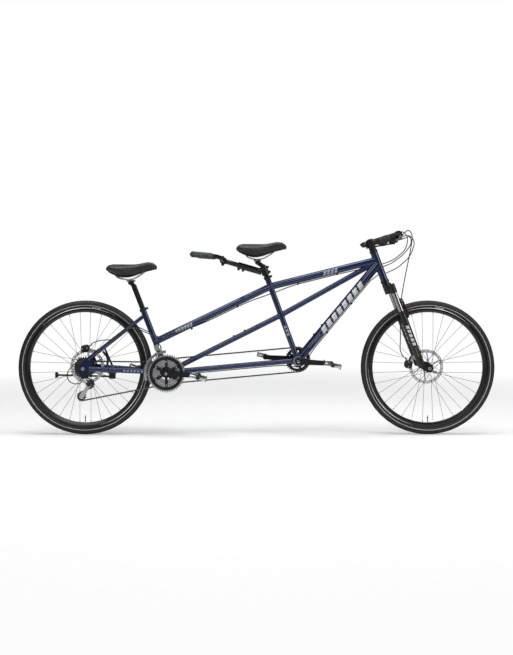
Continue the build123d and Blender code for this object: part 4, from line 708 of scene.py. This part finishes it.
def saddle_piece(name, node, body, shift):
    """Padded cover over a moulded base, with a piped seam each side."""
    build = Build()
    build.rings([saddle_ring(station, shift) for station in SADDLE_STATIONS])
    pad = mesh_object(f"{name}_pad", build.verts, build.faces, [SADDLE])
    inflate(pad)
    pad.data.shade_smooth()
    smooth = pad.modifiers.new("smooth", "SUBSURF")
    smooth.levels = smooth.render_levels = 1
    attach(pad, body)
    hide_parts(node)

    base = Build()
    under = []
    for x, z, half_height, half_width in SADDLE_STATIONS[2:-2]:
        ring = []
        for angle in full_turn(28):
            y = half_width * 0.62 * cos(angle)
            ring.append(Vector((x, y, z - half_height * 0.86 + 0.0045 * sin(angle))) + shift)
        under.append(ring)
    base.rings(under)
    piece(f"{name}_base", base, PLASTIC, body)

    seams = Build()
    for side in (-1, 1):
        route = []
        for x, z, half_height, half_width in SADDLE_STATIONS[2:-2]:
            route.append(Vector((x, side * half_width * 0.93, z + half_height * 0.42)) + shift)
        seams.rings(tube_rings(spline_path(route, 6), SEAM_RADIUS, 8))
    piece(f"{name}_seams", seams, SADDLE_SIDE, body)


CAPTAIN_SHIFT = Vector((0, 0, 0))
captain_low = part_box("captain_saddle")[0]
stoker_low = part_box("stoker_saddle")[0]
STOKER_SHIFT = Vector((stoker_low.x - captain_low.x, 0, stoker_low.z - captain_low.z))
saddle_piece("captain", "captain_saddle", "captain_post", CAPTAIN_SHIFT)
saddle_piece("stoker", "stoker_saddle", "stoker_post", STOKER_SHIFT)


# -------- grips
GRIP_RADIUS = 0.0150
GRIP_RIB = 0.0003
GRIP_BACK = 0.0152
PALM_REACH = 0.0168
PALM_FLATNESS = 0.62
GRIP_OVERHANG = 0.004
GRIP_STEPS, GRIP_POINTS = 36, 32


def grip_piece(name, start, end, mat, body):
    """Moulded grip: round sleeve that flares into a flattened palm rest behind the bar's end."""
    along = (end - start).normalized()
    up = (UP - along * UP.dot(along)).normalized()
    behind = up.cross(along).normalized()
    if behind.x > 0:
        behind = -behind
    length = (end - start).length + GRIP_OVERHANG
    build = Build()
    rings = []
    for i in range(GRIP_STEPS + 1):
        share = i / GRIP_STEPS
        wing = max(0.0, (share - 0.12) / 0.88) ** 0.7
        fade = min(1.0, (1 - share) * 9 + 0.25)
        middle = start + along * (length * share)
        reach = GRIP_RADIUS + (GRIP_RIB if i % 2 else -GRIP_RIB)
        ring = []
        for angle in full_turn(GRIP_POINTS):
            back, rise = cos(angle), sin(angle)
            reach_back, flat = reach, 1.0
            if back > 0:
                reach_back = GRIP_BACK + PALM_REACH * wing * fade
                flat = 1 - PALM_FLATNESS * wing * back ** 2
            ring.append(middle + behind * (reach_back * back) + up * (reach * rise * flat))
        rings.append(ring)
    build.rings(rings)
    return piece(name, build, mat, body)


def mirrored(point):
    return Vector((point.x, -point.y, point.z))


BAR_BEND = Vector((0.742, 0.078, 1.046))
BAR_END = Vector((0.597, 0.326, 0.998))
CAPTAIN_GRIP_SHARE = 0.56
CAPTAIN_GRIP_START = BAR_BEND.lerp(BAR_END, CAPTAIN_GRIP_SHARE)
STOKER_KNEE = Vector((-0.190, 0.150, 0.928))
STOKER_END = Vector((-0.316, 0.268, 0.938))
STOKER_ALONG = (STOKER_END - STOKER_KNEE).normalized()
STOKER_GRIP_LENGTH = 0.122
STOKER_GRIP_START = STOKER_END - STOKER_ALONG * STOKER_GRIP_LENGTH
for side_name, place in (("left", lambda p: p), ("right", mirrored)):
    grip = grip_piece(f"captain_grip_{side_name}", place(CAPTAIN_GRIP_START), place(BAR_END), GRIP,
                      "steering")
    if side_name == "left":
        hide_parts("captain_grips")
    grip = grip_piece(f"stoker_grip_{side_name}", place(STOKER_GRIP_START), place(STOKER_END), GREY_GRIP,
                      "stoker_stem")
    if side_name == "left":
        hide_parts("stoker_grips")


# -------- frame: weld beads and markings
TOP_SEAT = on_line(CAPTAIN_BB, CAPTAIN_SEAT_UP, 0.773)
LATERAL_SEAT = on_line(CAPTAIN_BB, CAPTAIN_SEAT_UP, 0.623)
STOKER_TOP = on_line(STOKER_BB, STOKER_SEAT_UP, 0.4844)
TOP_HEAD = Vector((0.6298, 0, 0.9110))
LATERAL_HEAD = Vector((0.6322, 0, 0.9039))
DOWN_HEAD = Vector((0.6365, 0, 0.8928))
TOP_RADIUS, LATERAL_RADIUS, DOWN_RADIUS, BOTTOM_RADIUS = 0.0183, 0.0138, 0.0223, 0.0136
STOKER_TOP_RADIUS = 0.0175
SEAT_RADIUS, SEAT_WALL = 0.0150, 0.0155
HEAD_RADIUS, DOWN_HEAD_WALL = 0.0195, 0.0225
CAPTAIN_SHELL, STOKER_SHELL = 0.030, 0.0205
BEAD_RADIUS, BEAD_RIPPLE = 0.0021, 0.0005
BEAD_POINTS = 72


def weld_ring(root, along, radius, wall_root, wall_along, wall_radius):
    """Where a tube's surface meets the surface of a larger one, seen from the tube's root."""
    side, other = frame_of(along)
    points = []
    for angle in full_turn(BEAD_POINTS):
        start = root + (side * cos(angle) + other * sin(angle)) * radius
        offset = start - wall_root
        a_vec = along - wall_along * along.dot(wall_along)
        b_vec = offset - wall_along * offset.dot(wall_along)
        a, b = a_vec.dot(a_vec), 2 * a_vec.dot(b_vec)
        c = b_vec.dot(b_vec) - wall_radius ** 2
        inside = b * b - 4 * a * c
        if inside < 0:
            return None
        points.append(start + along * ((-b - inside ** 0.5) / (2 * a)))
    return points


def weld_bead(build, root, towards, radius, wall_root, wall_along, wall_radius):
    """Rippled bead along the joint."""
    along = (towards - root).normalized()
    points = weld_ring(root, along, radius, wall_root, wall_along.normalized(), wall_radius)
    if points is None:
        return
    radii = [BEAD_RADIUS + BEAD_RIPPLE * (i % 2) for i in range(len(points) + 1)]
    build.rings(tube_rings(points + points[:1], radii, 8), close_ends=False)


CAPTAIN_SHELL_WALL = (CAPTAIN_BB, Y_AXIS, CAPTAIN_SHELL)
STOKER_SHELL_WALL = (STOKER_BB, Y_AXIS, STOKER_SHELL)
CAPTAIN_SEAT_WALL = (CAPTAIN_BB, CAPTAIN_SEAT_UP, SEAT_WALL)
HEAD_WALL = (HEAD_BOTTOM, STEER_UP, HEAD_RADIUS)
welds = Build()
weld_bead(welds, TOP_SEAT, TOP_HEAD, TOP_RADIUS, *HEAD_WALL)
weld_bead(welds, LATERAL_SEAT, LATERAL_HEAD, LATERAL_RADIUS, *HEAD_WALL)
weld_bead(welds, CAPTAIN_BB, DOWN_HEAD, DOWN_RADIUS, HEAD_BOTTOM, STEER_UP, DOWN_HEAD_WALL)
weld_bead(welds, CAPTAIN_BB + CAPTAIN_SEAT_UP * 0.3, CAPTAIN_BB, SEAT_RADIUS, *CAPTAIN_SHELL_WALL)
weld_bead(welds, STOKER_BB + STOKER_SEAT_UP * 0.2, STOKER_BB, SEAT_RADIUS, *STOKER_SHELL_WALL)
weld_bead(welds, DOWN_HEAD, CAPTAIN_BB, DOWN_RADIUS, *CAPTAIN_SHELL_WALL)
weld_bead(welds, STOKER_BB, CAPTAIN_BB, BOTTOM_RADIUS, *CAPTAIN_SHELL_WALL)
weld_bead(welds, CAPTAIN_BB, STOKER_BB, BOTTOM_RADIUS, *STOKER_SHELL_WALL)
weld_bead(welds, LATERAL_SEAT, STOKER_BB, LATERAL_RADIUS, *STOKER_SHELL_WALL)
weld_bead(welds, STOKER_BB, LATERAL_SEAT, LATERAL_RADIUS, *CAPTAIN_SEAT_WALL)
weld_bead(welds, LATERAL_HEAD, LATERAL_SEAT, LATERAL_RADIUS, *CAPTAIN_SEAT_WALL)
piece("frame_welds", welds, WELD, "frame")


MARK_LIFT = 0.00025
BAND_COLS, BAND_ROWS = 10, 6


def band(build, root, along, radius, start, end, low_deg, high_deg, side, lean):
    """A thin curved patch on a round tube, a little proud of it."""
    outward = Vector((0, side, 0))
    outward = (outward - along * outward.dot(along)).normalized()
    above = along.cross(outward).normalized()
    if above.z < 0:
        above = -above
    verts, faces = [], []
    for j in range(BAND_ROWS + 1):
        share = j / BAND_ROWS
        angle = radians(low_deg + (high_deg - low_deg) * share)
        proud = (outward * cos(angle) + above * sin(angle)) * (radius + MARK_LIFT)
        for i in range(BAND_COLS + 1):
            reach = start + (end - start) * i / BAND_COLS + lean * (share - 0.5)
            verts.append(root + along * reach + proud)
    for j in range(BAND_ROWS):
        for i in range(BAND_COLS):
            a = j * (BAND_COLS + 1) + i
            faces.append((a, a + 1, a + BAND_COLS + 2, a + BAND_COLS + 1))
    build.add(verts, faces)


def marks(name, root, target, radius, spans, low, high, lean, mat, body="frame"):
    """The same row of plain bars on both sides of a tube."""
    build = Build()
    along = (target - root).normalized()
    for side in (-1, 1):
        for start, end in spans:
            band(build, root, along, radius, start, end, low, high, side, lean)
    piece(name, build, mat, body)


def row(start, count, width, gap):
    """Where each bar of an even row begins and ends."""
    return [(start + i * (width + gap), start + i * (width + gap) + width) for i in range(count)]


marks("down_tube_bars", CAPTAIN_BB, DOWN_HEAD, DOWN_RADIUS, row(0.200, 8, 0.029, 0.013), -42, 42, 0.013,
      WHITE_MARK)
marks("down_tube_line", CAPTAIN_BB, DOWN_HEAD, DOWN_RADIUS, [(0.09, 0.180)], -4, 4, 0.0, SILVER_MARK)
marks("top_tube_bars", TOP_SEAT, TOP_HEAD, TOP_RADIUS, row(0.285, 4, 0.014, 0.006), -34, 34, 0.008,
      SILVER_MARK)
marks("stoker_tube_bars", STOKER_TOP, TOP_SEAT, STOKER_TOP_RADIUS, row(0.118, 6, 0.012, 0.005), -30, 30,
      0.007, SILVER_MARK)
marks("seat_tube_bars", CAPTAIN_BB, TOP_SEAT, SEAT_RADIUS, row(0.140, 3, 0.014, 0.006), -28, 28, 0.0,
      SILVER_MARK)

# -------- small hardware
bolts = Build()
for along in (0.192, 0.216):
    for side in (-1, 1):
        bolts.socket_bolt(steer(along, -0.026, side * 0.0100), Y_AXIS * side, 0.0036, 0.0022)
bolts.socket_bolt(steer(0.229), STEER_UP, 0.006, 0.0025)
piece("stem_bolts", bolts, STEEL, "steering")

CRANK_BOLT_Y = 0.0785
for who, centre in (("stoker", STOKER_BB), ("captain", CAPTAIN_BB)):
    build = Build()
    for side in (-1, 1):
        build.socket_bolt(centre + Y_AXIS * side * CRANK_BOLT_Y, Y_AXIS * side, 0.0072, 0.0016)
    piece(f"{who}_crank_bolts", build, STEEL, f"{who}_crankset")
build = Build()
bolt_circle(build, STOKER_BB - Y_AXIS * 0.0624, 0.061, -Y_AXIS, 0.0045, 0.0022)
piece("chainring_bolts", build, STEEL, "stoker_crankset")

STAY_FRONT = Vector((-0.562, -0.034, 0.331))
STAY_REAR = Vector((-0.866, -0.072, 0.349))
STAY_RADIUS = 0.0093
marks("right_stay_bars", STAY_FRONT, STAY_REAR, STAY_RADIUS, row(0.030, 6, 0.009, 0.009), -22, 22, 0.0,
      SILVER_MARK)
LEG_TOP = steer(-0.200, 0.017)
LEG_FOOT = steer(-0.470, 0.017)
LEG_Y, LEG_RADIUS = 0.064, 0.0185
for side_name, side in (("right", -1), ("left", 1)):
    root = LEG_TOP + Y_AXIS * side * LEG_Y
    tip = LEG_FOOT + Y_AXIS * side * LEG_Y
    marks(f"fork_{side_name}_bars", root, tip, LEG_RADIUS, row(0.055, 5, 0.016, 0.007), -24, 24, 0.004,
          WHITE_MARK, "fork_slider")
    marks(f"fork_{side_name}_line", root, tip, LEG_RADIUS, [(0.175, 0.225)], -5, 5, 0.0, GOLD_MARK,
          "fork_slider")


# -------- pedals
PEDAL_TILT = radians(15)
PEDAL_START = 0.085
CAGE_INSIDE, CAGE_OUTSIDE = 0.0405, 0.0440
CAGE_LENGTH, CAGE_STEPS = 0.083, 24
TOOTH_HIGH, TOOTH_LOW = 0.0120, 0.0096
SLAB_EDGE = 0.0012
BARREL_PROFILE = [(0.001, 0.0060), (0.002, 0.0105), (0.018, 0.0108), (0.024, 0.0092), (0.070, 0.0092),
                  (0.076, 0.0106), (0.086, 0.0106), (0.090, 0.0085), (0.0905, 0.0040)]


def tilted(points, centre):
    """Turns points about the pedal's own axle."""
    turned = []
    for point in points:
        x, z = point.x - centre.x, point.z - centre.z
        turned.append(Vector((centre.x + x * cos(PEDAL_TILT) + z * sin(PEDAL_TILT), point.y,
                              centre.z - x * sin(PEDAL_TILT) + z * cos(PEDAL_TILT))))
    return turned


def slab(build, centre, x_low, x_high, y_low, y_high, half_height):
    """A tilted block with eased edges."""
    edge = SLAB_EDGE
    rings = []
    for y, shrink in ((y_low, edge), (y_low + edge, 0), (y_high - edge, 0), (y_high, edge)):
        x0, x1, z1 = x_low + shrink, x_high - shrink, half_height - shrink
        z0 = -z1
        corners = [(x0 + edge, z0), (x1 - edge, z0), (x1, z0 + edge), (x1, z1 - edge), (x1 - edge, z1),
                   (x0 + edge, z1), (x0, z1 - edge), (x0, z0 + edge)]
        ring = [Vector((centre.x + x, y, centre.z + z)) for x, z in corners]
        rings.append(tilted(ring, centre))
    build.rings(rings)


def pedal_piece(who, side_name):
    """Toothed alloy cage round a moulded body on its barrel."""
    joint = JOINTS[f"{who}_{side_name}_pedal_spin"]
    eye = Vector(joint["pos_m"])
    side = 1 if side_name == "left" else -1
    start = side * PEDAL_START
    cage, core = Build(), Build()
    for x_side in (-1, 1):
        x0, x1 = x_side * CAGE_INSIDE, x_side * CAGE_OUTSIDE
        rings = []
        for i in range(CAGE_STEPS + 1):
            y = start + side * (0.003 + CAGE_LENGTH * i / CAGE_STEPS)
            tooth = TOOTH_HIGH if i % 3 else TOOTH_LOW
            corners = ((x0, -tooth), (x1, -tooth), (x1, tooth), (x0, tooth))
            rings.append(tilted([Vector((eye.x + x, y, eye.z + z)) for x, z in corners], eye))
        cage.rings(rings)
    for y in (start + side * 0.0045, start + side * 0.0815):
        low, high = sorted((y, y + side * 0.003))
        slab(cage, eye, -0.0410, 0.0410, low, high, 0.0085)
    for x_low, x_high in ((-0.033, -0.011), (0.011, 0.033)):
        low, high = sorted((start + side * 0.011, start + side * 0.073))
        slab(core, eye, x_low, x_high, low, high, 0.0052)
        for share in (0.2, 0.5, 0.8):
            y_mid = low + (high - low) * share
            slab(core, eye, x_low + 0.002, x_high - 0.002, y_mid - 0.004, y_mid + 0.004, 0.0075)
    core.turned(Vector((eye.x, start, eye.z)), Y_AXIS * side, BARREL_PROFILE, 24)
    body = f"{who}_pedal_{side_name}"
    piece(f"{who}_{side_name}_pedal_cage", cage, ALLOY, body)
    obj = piece(f"{who}_{side_name}_pedal_core", core, PLASTIC, body)
    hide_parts(f"{who}_{side_name}_pedal")


for who in ("captain", "stoker"):
    for side_name in ("left", "right"):
        pedal_piece(who, side_name)


# -------- calipers
CALIPER_REACH = 0.094
CALIPER_OUT, CALIPER_ACROSS = 0.0195, 0.0205
CALIPER_SQUARENESS = 0.62
CALIPER_POINTS = 36
ROTOR_GAP = 0.0024
ADJUSTER_PROFILE = [(0.024, 0.0185), (0.031, 0.0188), (0.033, 0.0165), (0.0335, 0.0115), (0.0375, 0.0112)]
ARM_RADIUS, BRACKET_RADIUS = 0.0031, 0.0058


def squared(value):
    """Pushes a sine or cosine out toward a rounded square."""
    return abs(value) ** CALIPER_SQUARENESS * (1 if value > 0 else -1)


def caliper_piece(name, node, body, axle, outward, face, bracket):
    """Rounded two-part caliper over the rotor, with its adjuster, arm and bracket."""
    tangent = Vector((outward.z, 0, -outward.x))
    centre = axle + outward * CALIPER_REACH
    build = Build()
    for low, high in ((face - 0.0088, face - ROTOR_GAP), (face + ROTOR_GAP, face + 0.0265)):
        rings = []
        for y, share in ((low, 0.86), (low + 0.002, 1.0), (high - 0.004, 1.0), (high, 0.80)):
            ring = []
            for angle in full_turn(CALIPER_POINTS):
                out = outward * (CALIPER_OUT * share * squared(cos(angle)))
                across = tangent * (CALIPER_ACROSS * share * squared(sin(angle)))
                ring.append(centre + out + across + Y_AXIS * y)
            rings.append(ring)
        build.rings(rings)
    build.turned(centre + Y_AXIS * face, Y_AXIS, ADJUSTER_PROFILE, 28)
    arm_end = centre + tangent * 0.030 + outward * 0.014
    arm_lift = Y_AXIS * (face + 0.0305)
    path = [centre + arm_lift, centre.lerp(arm_end, 0.5) + arm_lift + Y_AXIS * 0.001, arm_end + arm_lift]
    build.rings(tube_rings(spline_path(path, 6), ARM_RADIUS, 10))
    build.turned(arm_end + arm_lift - Y_AXIS * 0.003, Y_AXIS, [(0, 0.0040), (0.006, 0.0040)], 14)
    build.rings(tube_rings([centre + Y_AXIS * (face + 0.014), bracket], BRACKET_RADIUS, 14))
    obj = piece(name, build, BLACK, body)
    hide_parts(node)
    detail = Build()
    for turn in (-1, 1):
        near = centre + tangent * (0.0135 * turn) - outward * 0.010 + Y_AXIS * (face + 0.0262)
        detail.socket_bolt(near, Y_AXIS, 0.0034, 0.0024)
        far = centre + tangent * (0.012 * turn) + Y_AXIS * (face - 0.0086)
        detail.socket_bolt(far, -Y_AXIS, 0.0036, 0.0024)
    detail.socket_bolt(centre + Y_AXIS * (face + 0.0372), Y_AXIS, 0.0055, 0.0022)
    piece(f"{name}_bolts", detail, STEEL, body)


FRONT_OUT = (steer(-0.463, -0.0317) - steer(-0.5052, 0.0503)).normalized()
REAR_OUT_ANGLE = radians(97)
REAR_OUT = Vector((cos(REAR_OUT_ANGLE), 0, sin(REAR_OUT_ANGLE)))
FRONT_ROTOR_Y, REAR_ROTOR_Y = 0.040, 0.0522
REAR_BRACKET = Vector((-0.838, 0.066, 0.424))
caliper_piece("front_caliper_shell", "front_caliper", "fork_slider", FRONT_AXLE, FRONT_OUT, FRONT_ROTOR_Y,
              steer(-0.430, -0.003, 0.060))
caliper_piece("rear_caliper_shell", "rear_caliper", "frame", REAR_AXLE, REAR_OUT, REAR_ROTOR_Y, REAR_BRACKET)

# -------- rear derailleur
PLATE_INSIDE, PLATE_OUTSIDE = 0.0082, 0.0102
PLATE_END_RADIUS, PLATE_WAIST = 0.0128, 0.0086
cage = Build()
flat = [Vector((p.x, 0, p.z)) for p in link_outline(TENSION, GUIDE, PLATE_END_RADIUS, PLATE_WAIST)]
for low, high in ((-PLATE_OUTSIDE, -PLATE_INSIDE), (PLATE_INSIDE, PLATE_OUTSIDE)):
    cage.rings([[p + Y_AXIS * (GUIDE.y + depth) for p in flat] for depth in (low, high)])
for wheel in (TENSION, GUIDE):
    near = wheel - Y_AXIS * PLATE_OUTSIDE
    cage.turned(near, Y_AXIS, [(0, 0.0029), (2 * PLATE_OUTSIDE, 0.0029)], 14)
    cage.socket_bolt(near, -Y_AXIS, 0.0052, 0.0014)
cage_obj = piece("derailleur_cage_plates", cage, ALLOY, "rear_derailleur_cage")
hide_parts("derailleur_cage")

# -------- materials of the carried-over nodes
NODE_MATERIALS = (
    (PAINT, "welded_frame"),
    (ALLOY, "bearing_cups front_derailleur_clamp left_brake_lever right_brake_lever derailleur_link"),
    (BLACK, "seat_collars frame_fittings rear_caliper front_caliper fork_upper fork_lowers "
            "stoker_stem_clamp stoker_stem_tube derailleur_knuckle kickstand_leg"),
    (HOUSING, "frame_cables steering_cables"),
    (STEEL, "rear_axle front_axle front_derailleur_cage chainrings stoker_crank_axles "
            "captain_crank_axles derailleur_cage"),
    (RIM, "rear_rim front_rim"),
    (SPOKE, "rear_spokes front_spokes"),
    (ANODISED, "rear_hub front_hub stoker_cranks captain_cranks stoker_timing_ring captain_timing_ring "
               "handlebar stem captain_seatpost stoker_seatpost stoker_handlebar"),
    (ROTOR, "rear_rotor front_rotor"),
    (COG, "cassette"),
    (PLASTIC, "bar_controls left_shift_paddle right_shift_paddle guide_pulley tension_pulley"),
)
for mat, nodes in NODE_MATERIALS:
    for node in nodes.split():
        data = NODES[node].data
        data.materials.clear()
        data.materials.append(mat)
        data.set_sharp_from_angle(angle=NODE_CREASE)


def second_material(node, mat, test):
    """Gives the faces that pass the test their own material."""
    data = NODES[node].data
    data.materials.append(mat)
    index = len(data.materials) - 1
    for face in data.polygons:
        if test(face.center):
            face.material_index = index


def along_steerer(point):
    return (point - HEAD_BOTTOM).dot(STEER_UP)


CROWN_UNDERSIDE, STANCHION_INSIDE = -0.0735, 0.045
second_material("fork_upper", CHROME,
                lambda p: abs(p.y) > STANCHION_INSIDE and along_steerer(p) < CROWN_UNDERSIDE)
HEAD_CUPS_AHEAD_OF = 0.4
second_material("bearing_cups", BLACK, lambda p: p.x > HEAD_CUPS_AHEAD_OF)
RAIL_LOWEST = 0.9085
RAIL_SPAN = (0.0055, 0.0312)
for node, shift in (("captain_seatpost", CAPTAIN_SHIFT), ("stoker_seatpost", STOKER_SHIFT)):
    second_material(node, STEEL, lambda p, low=RAIL_LOWEST + shift.z: (
        p.z > low and RAIL_SPAN[0] < abs(p.y) < RAIL_SPAN[1]))

# -------- stage, light, camera
GROUND_REACH = 60.0
GROUND_DROP = 0.0005
ground_corners = [(x * GROUND_REACH, y * GROUND_REACH, -GROUND_DROP)
                  for x, y in ((-1, -1), (1, -1), (1, 1), (-1, 1))]
stage = mesh_object("studio_ground", ground_corners, [(0, 1, 2, 3)], [FLOOR], smooth=False)

SKY_STRENGTH = 0.13
world = bpy.data.worlds.new("studio")
world.use_nodes = True
sky = world.node_tree
lit = sky.nodes["Background"]
lit.inputs["Color"].default_value = (0.92, 0.95, 1.0, 1)
lit.inputs["Strength"].default_value = SKY_STRENGTH
seen = sky.nodes.new("ShaderNodeBackground")
seen.inputs["Color"].default_value = (1, 1, 1, 1)
seen.inputs["Strength"].default_value = 1.0
rays = sky.nodes.new("ShaderNodeLightPath")
choose = sky.nodes.new("ShaderNodeMixShader")
sky.links.new(rays.outputs["Is Camera Ray"], choose.inputs["Fac"])
sky.links.new(lit.outputs["Background"], choose.inputs[1])
sky.links.new(seen.outputs["Background"], choose.inputs[2])
sky.links.new(choose.outputs["Shader"], sky.nodes["World Output"].inputs["Surface"])
bpy.context.scene.world = world


def soft_light(name, place, target, size, power):
    data = bpy.data.lights.new(name, "AREA")
    data.shape = "RECTANGLE"
    data.size, data.size_y = size
    data.energy = power
    light = bpy.data.objects.new(name, data)
    light.location = place
    light.rotation_euler = (Vector(target) - Vector(place)).to_track_quat("-Z", "Y").to_euler()
    bpy.context.scene.collection.objects.link(light)


soft_light("top_panel", (0, -0.4, 3.6), (0, 0, 0.5), (4.6, 1.6), 120)
soft_light("front_panel", (-1.2, -4.6, 2.6), (0, 0, 0.5), (3.0, 1.2), 34)
soft_light("side_panel", (3.8, -1.8, 1.9), (0, 0, 0.6), (1.2, 1.6), 30)

SENSOR_MM = 36.0
LENS_MM = 51.6641
LENS_SHIFT = -0.09084
CAMERA_HEIGHT = 0.870
CAMERA_DISTANCE = 4.922
camera_data = bpy.data.cameras.new("camera")
camera_data.sensor_width = SENSOR_MM
camera_data.lens = LENS_MM
camera_data.shift_y = LENS_SHIFT
camera = bpy.data.objects.new("camera", camera_data)
camera.location = (0, -CAMERA_DISTANCE, CAMERA_HEIGHT)
camera.rotation_euler = (pi / 2, 0, 0)
bpy.context.scene.collection.objects.link(camera)
bpy.context.scene.camera = camera
bpy.context.scene.view_settings.view_transform = "Standard"
